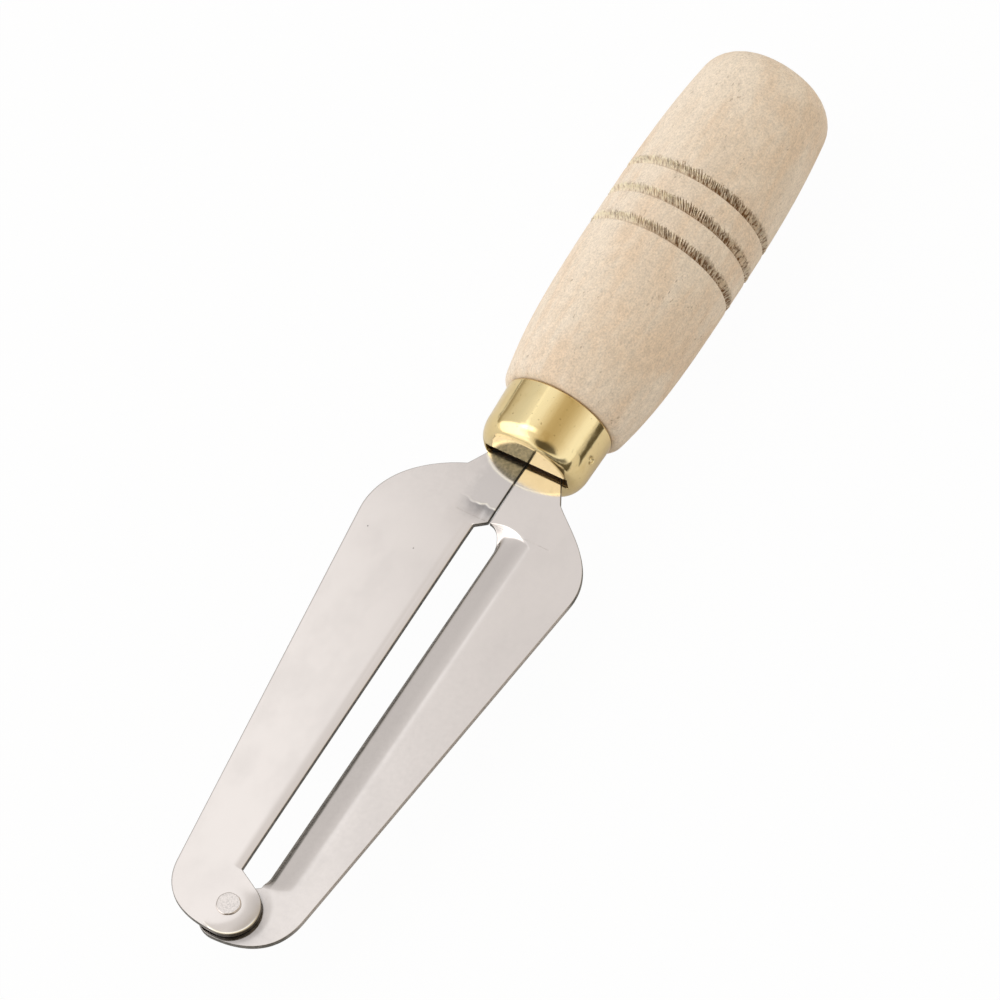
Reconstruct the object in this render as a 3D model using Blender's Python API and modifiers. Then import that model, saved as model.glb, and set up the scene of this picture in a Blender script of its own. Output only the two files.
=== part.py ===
"""Melon peeler: two sheet-steel leaves with a peeling slot between them, on a turned wooden handle.

Metres, +Z up.  The origin is the middle of the flat butt of the handle.  The tool lies along Y with
its blade towards -Y, and the leaves lie level: the cutting leaf at -X, the guard leaf at +X.
"""
import math

import bmesh
import bpy
from mathutils import Matrix, Vector
from mathutils.geometry import interpolate_bezier

# Fits
SEAT_GAP = 0.0003            # between pieces that touch
KERF_CLEARANCE = 0.0003      # round the tangs in the wood
TURN_STEPS = 48              # faces round the handle and the ferrule
RIVET_STEPS = 28

# Handle, turned from one piece of wood
HANDLE_LENGTH = 0.0918       # butt to the shoulder that the ferrule seats on
BELLY_RADIUS = 0.0173
BELLY_FROM_BUTT = 0.0440
BUTT_RADIUS = 0.0140         # where the side would meet the butt if its edge were square
BUTT_ROUNDING = 0.0070
BUTT_CURVE = 2.5             # power of the side's fall from the belly to the butt
SHOULDER_STEP = 0.0013       # the wood stands this proud of the ferrule
SHOULDER_ROUNDING = 0.0018
SHOULDER_CURVE = 3.6         # power of the side's fall from the belly to the shoulder
GROOVE_COUNT = 3
GROOVE_FROM_BUTT = 0.0359
GROOVE_PITCH = 0.0076
GROOVE_WIDTH = 0.0019
GROOVE_FLOOR_WIDTH = 0.00076
GROOVE_DEPTH = 0.0010

# Ferrule, a drawn brass cap
FERRULE_RADIUS = 0.01275
FERRULE_LENGTH = 0.0136
FERRULE_WALL = 0.0007
FERRULE_FILLET = 0.0036
SLOT_END_CLEARANCE = 0.0017  # ferrule slot beyond the edge of the leaf
SLOT_FACE_CLEARANCE = 0.0013 # ferrule slot above and below the leaf
STAKE_RADIUS = 0.0007        # punched dimple that keys the ferrule
STAKE_DEPTH = 0.0003
STAKE_FROM_FRONT = 0.0061
STAKE_ANGLE = math.radians(10.0)

# Leaves, cut from one gauge of sheet; reaches are measured from the ferrule's face
LEAF_THICKNESS = 0.0012
SLIT_WIDTH = 0.0004
TANG_DEPTH = 0.0500
TANG_HALF_WIDTH = 0.0080
TANG_END_HALF_WIDTH = 0.0055
TENON_RECESS = 0.0012        # tenon's end behind the inside of the ferrule's face
NECK_HALF_WIDTH = 0.0115
NECK_REACH = 0.0055
CUT_SHOULDER_HALF_WIDTH = 0.0264
GUARD_SHOULDER_HALF_WIDTH = 0.0257
SHOULDER_REACH = 0.0257
BLADE_REACH = 0.1286
CUT_TIP_HALF_WIDTH = 0.0169  # outer edges where they meet the rounded tip
GUARD_TIP_HALF_WIDTH = 0.0143
TIP_EDGE_FROM_END = 0.0122   # where the straight outer edges end, back from the tip

# Pull of the outline's curves, as shares of the spans they cross
CUT_NECK_PULL = (0.50, 0.16) # at the neck, of the width and the height to the shoulder
GUARD_NECK_PULL = (0.34, 0.22)
SHOULDER_PULL = 0.52         # back along the straight edge, of the same height
TIP_PULL_ON = 0.65           # on past the straight edge, of the length left to the tip
TIP_PULL_OUT = 0.58          # across the tip, of its half width

# Peeling slot between the leaves
NOTCH_REACH = 0.0161
NOTCH_DEPTH = 0.0019
CUT_EDGE_START = 0.0027      # cutting edge from the centre line, at the notch
CUT_EDGE_END = 0.0034        # and at the tip end of the slot
SLOT_END_FROM_TIP = 0.0163
GUARD_EDGE_START = 0.0039
GUARD_EDGE_END = 0.0021
GUARD_ROUND = 0.0054         # length of the guard's rounded corner at the notch
GUARD_END_FROM_TIP = 0.0149
EDGE_GRIND = 0.0011          # width of the ground bevel
EDGE_LAND = 0.0003           # thickness left at the cutting edge

# Guard lip, pressed down along the slot
LIP_WIDTH = 0.0066
LIP_DEPTH = 0.0018
LIP_CURVE = 3.0              # power of the lip's fall across its width
LIP_CUTS = 6                 # folds across the lip
LIP_START_BLEND = 0.0070     # length over which the lip sinks, from the notch
LIP_START_CUTS = 5
LIP_END_BLEND = 0.0035       # and over which it comes level again at the tip
LIP_END_CUTS = 3

# Tip joint
CUT_TIP_BACK = 0.0007        # the cutting leaf ends this far short of the guard leaf
CUT_LOBE_RADIUS = 0.0067
GUARD_LOBE_RADIUS = 0.0058
CUT_LOBE_OFFSET = 0.0011     # middle of the lobe from the centre line, to the cutting side
GUARD_LOBE_OFFSET = 0.0015
RIVET_OFFSET = 0.0015
RIVET_FROM_TIP = 0.0077
RIVET_SHANK_RADIUS = 0.0015
RIVET_HEAD_RADIUS = 0.0027
RIVET_HEAD_HEIGHT = 0.0005
RIVET_HEAD_FLAT = 0.0021     # radius of the head's flat top
RIVET_HEAD_CROWN = 0.0001    # each of two falls from the flat to the head's rim
RIVET_TAIL_RADIUS = 0.0024
RIVET_TAIL_FLAT = 0.0014
RIVET_TAIL_HEIGHT = 0.0006

FERRULE_FACE = HANDLE_LENGTH + FERRULE_LENGTH        # from the butt
RIVET_REACH = BLADE_REACH - RIVET_FROM_TIP
LEAF_RISE = (LEAF_THICKNESS + SEAT_GAP) / 2          # each leaf leaves the middle plane by this
RIVET_HOLE_RADIUS = RIVET_SHANK_RADIUS + SEAT_GAP
SHOULDER_RADIUS = FERRULE_RADIUS + SHOULDER_STEP
TENON_RADIUS = FERRULE_RADIUS - FERRULE_WALL - SEAT_GAP


def blade_y(reach):
    """World Y of a reach beyond the ferrule's face."""
    return -(FERRULE_FACE + reach)


def clear_scene():
    for old in list(bpy.data.objects):
        bpy.data.objects.remove(old, do_unlink=True)


def collection(name):
    made = bpy.data.collections.get(name) or bpy.data.collections.new(name)
    if made.name not in bpy.context.scene.collection.children:
        bpy.context.scene.collection.children.link(made)
    return made


def material(name, colour, roughness, metallic):
    made = bpy.data.materials.new(name)
    made.use_nodes = True
    shader = made.node_tree.nodes["Principled BSDF"]
    shader.inputs["Base Color"].default_value = (*colour, 1.0)
    shader.inputs["Roughness"].default_value = roughness
    shader.inputs["Metallic"].default_value = metallic
    return made


def add_object(name, mesh, where, finish=None):
    made = bpy.data.objects.new(name, mesh)
    where.objects.link(made)
    if finish:
        mesh.materials.clear()
        mesh.materials.append(finish)
    return made


def as_cutter(made):
    made.hide_render = True
    made.display_type = "WIRE"
    return made


def cut(target, cutter):
    step = target.modifiers.new("cut_" + cutter.name, "BOOLEAN")
    step.operation = "DIFFERENCE"
    step.solver = "EXACT"
    step.object = cutter


def turned(name, profile, steps, where, finish=None):
    """A turned solid: the profile is (radius, height) pairs that run down the outer side."""
    mesh = bpy.data.meshes.new(name)
    points = [(radius, 0.0, height) for radius, height in profile]
    edges = [(i, i + 1) for i in range(len(points) - 1)]
    mesh.from_pydata(points, edges, [])
    made = add_object(name, mesh, where, finish)
    screw = made.modifiers.new("turn", "SCREW")
    screw.steps = steps
    screw.render_steps = steps
    screw.use_merge_vertices = True
    screw.merge_threshold = 0.00001
    screw.use_smooth_shade = True
    return made


def box_cutter(name, size, centre):
    bpy.ops.mesh.primitive_cube_add(size=1.0)
    made = bpy.context.active_object
    made.name = name
    made.data.transform(Matrix.Diagonal((*size, 1.0)))
    made.location = centre
    move_to(made, CUTTERS)
    return as_cutter(made)


def move_to(made, where):
    for old in list(made.users_collection):
        old.objects.unlink(made)
    where.objects.link(made)


def bezier(start, handle_a, handle_b, end, count):
    knots = [Vector((x, y, 0.0)) for x, y in (start, handle_a, handle_b, end)]
    return [(point.x, point.y) for point in interpolate_bezier(*knots, count)]


def arc(centre, radius, start, end, count):
    turn = (end - start) / (count - 1)
    return [(centre[0] + radius * math.cos(start + turn * i),
             centre[1] + radius * math.sin(start + turn * i)) for i in range(count)]


def handle_radius(from_butt):
    """Radius of the wood's side: a power curve falls away from the belly both ways."""
    if from_butt < BELLY_FROM_BUTT:
        fall = (BELLY_FROM_BUTT - from_butt) / BELLY_FROM_BUTT
        return BELLY_RADIUS - (BELLY_RADIUS - BUTT_RADIUS) * fall ** BUTT_CURVE
    fall = (from_butt - BELLY_FROM_BUTT) / (HANDLE_LENGTH - BELLY_FROM_BUTT)
    return BELLY_RADIUS - (BELLY_RADIUS - SHOULDER_RADIUS) * fall ** SHOULDER_CURVE


def handle_profile():
    """(radius, height) down the handle's side, with the butt at height 0 and on top."""
    points = [(0.0, 0.0)]
    rounding_steps = 6
    plain_steps = 5
    for i in range(rounding_steps + 1):
        angle = math.pi / 2 * i / rounding_steps
        back = BUTT_ROUNDING * (1 - math.sin(angle))
        along = BUTT_ROUNDING * (1 - math.cos(angle))
        points.append((handle_radius(along) - back, -along))
    half = GROOVE_WIDTH / 2
    floor = GROOVE_FLOOR_WIDTH / 2
    for k in range(1, plain_steps):
        along = BUTT_ROUNDING + (GROOVE_FROM_BUTT - half - BUTT_ROUNDING) * k / plain_steps
        points.append((handle_radius(along), -along))
    for groove in range(GROOVE_COUNT):
        middle = GROOVE_FROM_BUTT + groove * GROOVE_PITCH
        points.append((handle_radius(middle - half), -(middle - half)))
        points.append((handle_radius(middle) - GROOVE_DEPTH, -(middle - floor)))
        points.append((handle_radius(middle) - GROOVE_DEPTH, -(middle + floor)))
        points.append((handle_radius(middle + half), -(middle + half)))
    first = GROOVE_FROM_BUTT + (GROOVE_COUNT - 1) * GROOVE_PITCH + half
    last = HANDLE_LENGTH - SHOULDER_ROUNDING
    side_steps = 8
    for k in range(1, side_steps + 1):
        along = first + (last - first) * k / side_steps
        points.append((handle_radius(along), -along))
    shoulder_steps = 3
    for i in range(1, shoulder_steps + 1):
        angle = math.pi / 2 * i / shoulder_steps
        along = last + SHOULDER_ROUNDING * math.sin(angle)
        points.append((handle_radius(along) - SHOULDER_ROUNDING * (1 - math.cos(angle)), -along))
    inner_fillet = FERRULE_FILLET - FERRULE_WALL
    centre = (FERRULE_RADIUS - FERRULE_FILLET, -(FERRULE_FACE - FERRULE_FILLET))
    drop = math.asin(min((inner_fillet - TENON_RECESS) / (inner_fillet - SEAT_GAP), 1.0))
    points.append((TENON_RADIUS, -HANDLE_LENGTH))
    points += arc(centre, inner_fillet - SEAT_GAP, 0.0, -drop, 5)
    points.append((0.0, points[-1][1]))
    return points


def make_handle():
    wood = material("raw_wood", (0.76, 0.61, 0.46), 0.75, 0.0)
    handle = turned("handle", handle_profile(), TURN_STEPS, PARTS, wood)
    handle.rotation_euler = (-math.pi / 2, 0.0, 0.0)
    width = 2 * (TANG_HALF_WIDTH + KERF_CLEARANCE)
    height = LEAF_THICKNESS + 2 * KERF_CLEARANCE
    length = TANG_DEPTH + KERF_CLEARANCE
    kerf = box_cutter("kerf_cutter", (width, length, height), (0.0, blade_y(-length / 2), 0.0))
    cut(handle, kerf)
    return handle


def ferrule_profile():
    """(radius, height) from the axis over the inside, round the rim and down the outer side."""
    inner_radius = FERRULE_RADIUS - FERRULE_WALL
    inner_fillet = FERRULE_FILLET - FERRULE_WALL
    face = -FERRULE_LENGTH
    rim = -SEAT_GAP
    quarter = math.pi / 2
    centre = (FERRULE_RADIUS - FERRULE_FILLET, face + FERRULE_FILLET)
    points = [(0.0, face + FERRULE_WALL)]
    points += arc(centre, inner_fillet, -quarter, 0.0, 6)
    points += [(inner_radius, rim), (FERRULE_RADIUS, rim)]
    points += arc(centre, FERRULE_FILLET, 0.0, -quarter, 7)
    points.append((0.0, face))
    return points


def mouth_half_width():
    """Half width of the leaves together where they pass the ferrule's face."""
    slope = (NECK_HALF_WIDTH - TANG_HALF_WIDTH) / (NECK_REACH + FERRULE_WALL)
    return TANG_HALF_WIDTH + slope * FERRULE_WALL


def make_ferrule():
    brass = material("brass", (0.80, 0.60, 0.26), 0.22, 1.0)
    ferrule = turned("ferrule", ferrule_profile(), TURN_STEPS, PARTS, brass)
    ferrule.rotation_euler = (-math.pi / 2, 0.0, 0.0)
    ferrule.location = (0.0, blade_y(-FERRULE_LENGTH), 0.0)
    width = 2 * (mouth_half_width() + SLOT_END_CLEARANCE)
    length = 2 * FERRULE_FILLET
    height = LEAF_THICKNESS + 2 * SLOT_FACE_CLEARANCE
    mouth = box_cutter("mouth_cutter", (width, length, height), (0.0, blade_y(0.0), 0.0))
    cut(ferrule, mouth)
    bpy.ops.mesh.primitive_uv_sphere_add(segments=16, ring_count=8, radius=STAKE_RADIUS)
    stake = bpy.context.active_object
    stake.name = "stake_cutter"
    out = FERRULE_RADIUS + STAKE_RADIUS - STAKE_DEPTH
    along = blade_y(-STAKE_FROM_FRONT)
    stake.location = (out * math.cos(STAKE_ANGLE), along, out * math.sin(STAKE_ANGLE))
    move_to(stake, CUTTERS)
    cut(ferrule, as_cutter(stake))
    return ferrule


def outer_outline(shoulder_half_width, tip_half_width, pull, middle, end):
    """(x, reach) of a leaf's outer side from the tang's end to the middle of its tip, on +X."""
    neck = Vector((NECK_HALF_WIDTH, NECK_REACH))
    shoulder = Vector((shoulder_half_width, SHOULDER_REACH))
    tip_edge = Vector((tip_half_width, BLADE_REACH - TIP_EDGE_FROM_END))
    tip = Vector((middle, end))
    edge = (tip_edge - shoulder).normalized()
    span = shoulder - neck
    neck_pull = neck + Vector((pull[0] * span.x, pull[1] * span.y))
    shoulder_pull = shoulder - edge * SHOULDER_PULL * span.y
    edge_pull = tip_edge + edge * TIP_PULL_ON * TIP_EDGE_FROM_END
    tip_pull = Vector((TIP_PULL_OUT * tip_half_width, end))
    points = [(TANG_END_HALF_WIDTH, -TANG_DEPTH)]
    points += [(TANG_HALF_WIDTH, -FERRULE_LENGTH), (TANG_HALF_WIDTH, -FERRULE_WALL)]
    points += bezier(neck, neck_pull, shoulder_pull, shoulder, 12)
    points += bezier(tip_edge, edge_pull, tip_pull, tip, 12)
    return points


def tangent_angle(point, centre, radius, side):
    """Angle, seen from a circle's centre, of the point where a line from an outside point touches it."""
    away = Vector(point) - Vector(centre)
    return math.atan2(away.y, away.x) + side * math.acos(radius / away.length)


def cutting_outline():
    """(x, reach) round the cutting leaf, which lies at -X."""
    end = BLADE_REACH - CUT_TIP_BACK
    centre = (-CUT_LOBE_OFFSET, end - CUT_LOBE_RADIUS)
    corner = (-CUT_EDGE_END, BLADE_REACH - SLOT_END_FROM_TIP)
    touch = tangent_angle(corner, centre, CUT_LOBE_RADIUS, 1.0)
    sizes = (CUT_SHOULDER_HALF_WIDTH, CUT_TIP_HALF_WIDTH, CUT_NECK_PULL)
    points = [(-x, reach) for x, reach in outer_outline(*sizes, CUT_LOBE_OFFSET, end)]
    points += arc(centre, CUT_LOBE_RADIUS, math.pi / 2, touch, 16)[1:]
    points += [corner, (-CUT_EDGE_START, NOTCH_REACH + NOTCH_DEPTH)]
    points += [(-SLIT_WIDTH / 2, NOTCH_REACH), (-SLIT_WIDTH / 2, -TANG_DEPTH)]
    return points


def guard_outline():
    """(x, reach) round the guard leaf, which lies at +X."""
    centre = (-GUARD_LOBE_OFFSET, BLADE_REACH - GUARD_LOBE_RADIUS)
    corner = (GUARD_EDGE_END, BLADE_REACH - GUARD_END_FROM_TIP)
    touch = tangent_angle(corner, centre, GUARD_LOBE_RADIUS, -1.0)
    sizes = (GUARD_SHOULDER_HALF_WIDTH, GUARD_TIP_HALF_WIDTH, GUARD_NECK_PULL)
    points = outer_outline(*sizes, -GUARD_LOBE_OFFSET, BLADE_REACH)
    points += arc(centre, GUARD_LOBE_RADIUS, math.pi / 2, touch + 2 * math.pi, 16)[1:]
    points.append(corner)
    round_steps = 6
    span = GUARD_EDGE_START - SLIT_WIDTH / 2
    for i in range(round_steps + 1):
        angle = math.pi / 2 * (1 - i / round_steps)
        out = SLIT_WIDTH / 2 + span * math.sin(angle)
        points.append((out, NOTCH_REACH + GUARD_ROUND * (1 - math.cos(angle))))
    points.append((SLIT_WIDTH / 2, -TANG_DEPTH))
    return points


def sheet(name, outline, finish):
    """A flat leaf: a filled 2D curve, extruded by half its thickness and made one closed mesh."""
    curve = bpy.data.curves.new(name + "_outline", "CURVE")
    curve.dimensions = "2D"
    curve.fill_mode = "BOTH"
    curve.extrude = LEAF_THICKNESS / 2
    spline = curve.splines.new("POLY")
    spline.points.add(len(outline) - 1)
    for point, (x, reach) in zip(spline.points, outline):
        point.co = (x, blade_y(reach), 0.0, 1.0)
    spline.use_cyclic_u = True
    guide = bpy.data.objects.new(name + "_outline", curve)
    PARTS.objects.link(guide)
    evaluated = guide.evaluated_get(bpy.context.evaluated_depsgraph_get())
    mesh = bpy.data.meshes.new_from_object(evaluated)
    bpy.data.objects.remove(guide, do_unlink=True)
    mesh.name = name
    bm = bmesh.new()
    bm.from_mesh(mesh)
    bmesh.ops.remove_doubles(bm, verts=bm.verts, dist=0.000001)
    bmesh.ops.recalc_face_normals(bm, faces=bm.faces)
    bm.to_mesh(mesh)
    bm.free()
    return add_object(name, mesh, PARTS, finish)


def left_of(start, end):
    """Unit normal, in the sheet, to the left of the way from start to end."""
    along = (end - start).normalized()
    return Vector((-along.y, along.x, 0.0))


def fold_line(bm, point, normal):
    """Cut every face that crosses the plane through the point."""
    every = bm.verts[:] + bm.edges[:] + bm.faces[:]
    bmesh.ops.bisect_plane(bm, geom=every, dist=0.0000001, plane_co=point, plane_no=normal)


def fold_across(bm, reach):
    """Cut the sheet straight across at a reach."""
    fold_line(bm, Vector((0.0, blade_y(reach), 0.0)), Vector((0.0, 1.0, 0.0)))


def smooth_step(value):
    value = min(max(value, 0.0), 1.0)
    return value * value * (3 - 2 * value)


def leaf_rise(y):
    """How far a leaf has left the middle plane at y, on its way to the rivet."""
    return LEAF_RISE * max(0.0, blade_y(0.0) - y) / RIVET_REACH


def shape_cutting_leaf(bm):
    """Grind the bevel on the slot's edge and lift the leaf towards the rivet."""
    start = Vector((-CUT_EDGE_START, blade_y(NOTCH_REACH + NOTCH_DEPTH), 0.0))
    end = Vector((-CUT_EDGE_END, blade_y(BLADE_REACH - SLOT_END_FROM_TIP), 0.0))
    normal = left_of(start, end)
    fold_line(bm, start - normal * EDGE_GRIND, normal)
    fold_across(bm, 0.0)
    for vert in bm.verts:
        for corner in (start, end):
            if (vert.co.xy - corner.xy).length < SEAT_GAP / 10 and vert.co.z > 0.0:
                vert.co.z -= LEAF_THICKNESS - EDGE_LAND
        vert.co.z += leaf_rise(vert.co.y)


def shape_guard_leaf(bm):
    """Press the lip down along the slot and lower the leaf towards the rivet."""
    start = Vector((GUARD_EDGE_START, blade_y(NOTCH_REACH + GUARD_ROUND), 0.0))
    end = Vector((GUARD_EDGE_END, blade_y(BLADE_REACH - GUARD_END_FROM_TIP), 0.0))
    normal = left_of(start, end)
    for k in range(LIP_CUTS):
        fold_line(bm, start + normal * LIP_WIDTH * (k + 1) / LIP_CUTS, normal)
    near = NOTCH_REACH
    far = BLADE_REACH - GUARD_END_FROM_TIP
    fold_across(bm, 0.0)
    for k in range(LIP_START_CUTS + 1):
        fold_across(bm, near + LIP_START_BLEND * k / LIP_START_CUTS)
    for k in range(LIP_END_CUTS + 1):
        fold_across(bm, far - LIP_END_BLEND * k / LIP_END_CUTS)
    for vert in bm.verts:
        reach = -vert.co.y - FERRULE_FACE
        across = (Vector((vert.co.x, vert.co.y, 0.0)) - start).dot(normal)
        depth = max(0.0, 1 - max(across, 0.0) / LIP_WIDTH) ** LIP_CURVE
        depth *= smooth_step((reach - near) / LIP_START_BLEND)
        depth *= smooth_step((far - reach) / LIP_END_BLEND)
        vert.co.z -= LIP_DEPTH * depth + leaf_rise(vert.co.y)


def make_leaf(name, outline, shape, finish, hole):
    leaf = sheet(name, outline, finish)
    bm = bmesh.new()
    bm.from_mesh(leaf.data)
    shape(bm)
    bmesh.ops.triangulate(bm, faces=bm.faces)
    bm.to_mesh(leaf.data)
    bm.free()
    cut(leaf, hole)
    return leaf


def make_leaves():
    steel = material("sheet_steel", (0.80, 0.77, 0.74), 0.35, 1.0)
    through = 10 * LEAF_THICKNESS
    bpy.ops.mesh.primitive_cylinder_add(vertices=RIVET_STEPS, radius=RIVET_HOLE_RADIUS, depth=through)
    hole = bpy.context.active_object
    hole.name = "rivet_hole_cutter"
    hole.location = (-RIVET_OFFSET, blade_y(RIVET_REACH), 0.0)
    move_to(hole, CUTTERS)
    as_cutter(hole)
    make_leaf("cutting_leaf", cutting_outline(), shape_cutting_leaf, steel, hole)
    make_leaf("guard_leaf", guard_outline(), shape_guard_leaf, steel, hole)


def make_rivet():
    """Head over the cutting leaf, shank through both, tail peened under the guard leaf."""
    steel = material("rivet_steel", (0.74, 0.72, 0.70), 0.30, 1.0)
    tilt_room = (RIVET_HEAD_RADIUS + RIVET_TAIL_RADIUS) / 2 * LEAF_RISE / RIVET_REACH
    seat = LEAF_RISE + LEAF_THICKNESS / 2 + SEAT_GAP + tilt_room
    top = seat + RIVET_HEAD_HEIGHT
    corner = (RIVET_HEAD_FLAT + RIVET_HEAD_RADIUS) / 2
    profile = [(0.0, top), (RIVET_HEAD_FLAT, top), (corner, top - RIVET_HEAD_CROWN)]
    profile += [(RIVET_HEAD_RADIUS, top - 2 * RIVET_HEAD_CROWN), (RIVET_HEAD_RADIUS, seat)]
    profile += [(RIVET_SHANK_RADIUS, seat), (RIVET_SHANK_RADIUS, -seat)]
    profile += [(RIVET_TAIL_RADIUS, -seat), (RIVET_TAIL_RADIUS, -seat - RIVET_TAIL_HEIGHT / 2)]
    profile += [(RIVET_TAIL_FLAT, -seat - RIVET_TAIL_HEIGHT), (0.0, -seat - RIVET_TAIL_HEIGHT)]
    rivet = turned("tip_rivet", profile, RIVET_STEPS, PARTS, steel)
    rivet.location = (-RIVET_OFFSET, blade_y(RIVET_REACH), 0.0)
    return rivet


clear_scene()
PARTS = collection("melon_peeler")
CUTTERS = collection("melon_peeler_cutters")
make_handle()
make_ferrule()
make_leaves()
make_rivet()
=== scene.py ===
# %% [markdown]
# # A melon peeler, from plain solids to a finished picture
# A melon peeler is a blade of two flat steel leaves on a turned wooden handle.  A strip of rind passes
# up through the slot between the leaves: the left leaf cuts and the right leaf guards.  The plain
# solids of its five parts are loaded first.  They say where everything is and how large it is.  Each
# part then gets a finer surface, worked out with numpy, and a finish made from nodes.

import math

import bmesh
import bpy
import numpy as np
from mathutils import Matrix, Vector


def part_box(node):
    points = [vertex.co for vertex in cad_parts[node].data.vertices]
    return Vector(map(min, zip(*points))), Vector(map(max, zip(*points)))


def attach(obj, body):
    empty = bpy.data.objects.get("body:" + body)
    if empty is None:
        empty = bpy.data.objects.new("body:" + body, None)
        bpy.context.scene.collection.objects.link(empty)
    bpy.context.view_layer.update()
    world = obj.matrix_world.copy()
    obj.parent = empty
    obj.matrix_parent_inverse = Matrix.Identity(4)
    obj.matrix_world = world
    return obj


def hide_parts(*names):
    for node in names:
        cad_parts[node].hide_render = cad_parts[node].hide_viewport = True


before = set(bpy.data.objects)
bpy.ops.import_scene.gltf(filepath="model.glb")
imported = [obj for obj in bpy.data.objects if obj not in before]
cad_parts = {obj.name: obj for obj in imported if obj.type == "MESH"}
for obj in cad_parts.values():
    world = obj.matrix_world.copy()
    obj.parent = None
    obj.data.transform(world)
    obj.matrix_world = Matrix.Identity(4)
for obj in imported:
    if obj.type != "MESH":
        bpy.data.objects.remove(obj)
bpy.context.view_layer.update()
MM = 0.001

# %% [markdown]
# ## The sizes that everything follows
# The origin is the middle of the handle's butt and the tool lies along Y, its blade towards -Y.  Along
# the handle a place is given as its distance from the butt, and along the blade as its reach beyond
# the face of the brass ferrule.  The lengths of the whole tool and of its parts are read from the
# solids, so a change there is followed here.

# %% Sizes read from the solids
BUTT_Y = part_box("handle")[1].y
FACE_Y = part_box("ferrule")[0].y
TIP_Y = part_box("guard_leaf")[0].y
BELLY_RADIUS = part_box("handle")[1].z
FERRULE_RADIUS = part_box("ferrule")[1].z
SEAT_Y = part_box("ferrule")[1].y
SEAT_GAP = 0.3 * MM
HANDLE_LENGTH = BUTT_Y - SEAT_Y - SEAT_GAP
BLADE_REACH = FACE_Y - TIP_Y
print("handle %.1f mm, ferrule %.1f mm, blade %.1f mm" % (
    HANDLE_LENGTH / MM, (SEAT_Y - FACE_Y) / MM, BLADE_REACH / MM))


def blade_y(reach):
    """World Y of a reach beyond the ferrule's face."""
    return FACE_Y - reach


# %% [markdown]
# ## The camera
# The picture was taken from far away with a very long lens, so parallel edges stay parallel.  The
# camera stands 22 degrees to the side of the blade's normal and 22 degrees towards its tip, and it is
# rolled so that the handle points up to the right.  Three axes are written down, the picture's right,
# its up and the way back to the camera, and they become the columns of the camera's rotation.

# %% Camera
LEAN_SIDE = math.radians(22.0)
LEAN_TIP = math.radians(22.0)
ROLL = math.radians(33.3)
PICTURE_PIXELS = 1000
PIXELS_PER_MM = 4.73
PICTURE_WIDTH = PICTURE_PIXELS / PIXELS_PER_MM * MM
CAMERA_DISTANCE = 9.6
SENSOR_WIDTH = 36.0
LOOK_AT = Vector((-0.9 * MM, -115.4 * MM, 0.0))


def matrix_from_axes(place, axes):
    """A placing whose rotation has the three axes as its columns."""
    return Matrix.Translation(place) @ Matrix(axes).transposed().to_4x4()


def make_camera():
    """A camera whose axes are the blade's own axes, leant to the side and to the tip, then rolled."""
    across = Vector((math.cos(LEAN_SIDE), 0.0, -math.sin(LEAN_SIDE)))
    back = Vector((math.sin(LEAN_SIDE) * math.cos(LEAN_TIP), -math.sin(LEAN_TIP),
                   math.cos(LEAN_SIDE) * math.cos(LEAN_TIP)))
    along = back.cross(across)
    right = across * math.cos(ROLL) + along * math.sin(ROLL)
    up = along * math.cos(ROLL) - across * math.sin(ROLL)
    data = bpy.data.cameras.new("long_lens")
    data.sensor_width = SENSOR_WIDTH
    data.lens = SENSOR_WIDTH * CAMERA_DISTANCE / PICTURE_WIDTH
    data.clip_start = 0.1
    data.clip_end = 3 * CAMERA_DISTANCE
    camera = bpy.data.objects.new("camera", data)
    camera.matrix_world = matrix_from_axes(LOOK_AT + back * CAMERA_DISTANCE, (right, up, back))
    bpy.context.scene.collection.objects.link(camera)
    bpy.context.scene.camera = camera
    return data.lens


print("lens %.0f mm" % make_camera())

# %% [markdown]
# ## Short names for node trees
# Materials and the world are trees of nodes.  A small class with one short method for each kind of
# node keeps them readable: every method adds a node, joins or sets its inputs, and returns its output.

# %% Node helper


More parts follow.
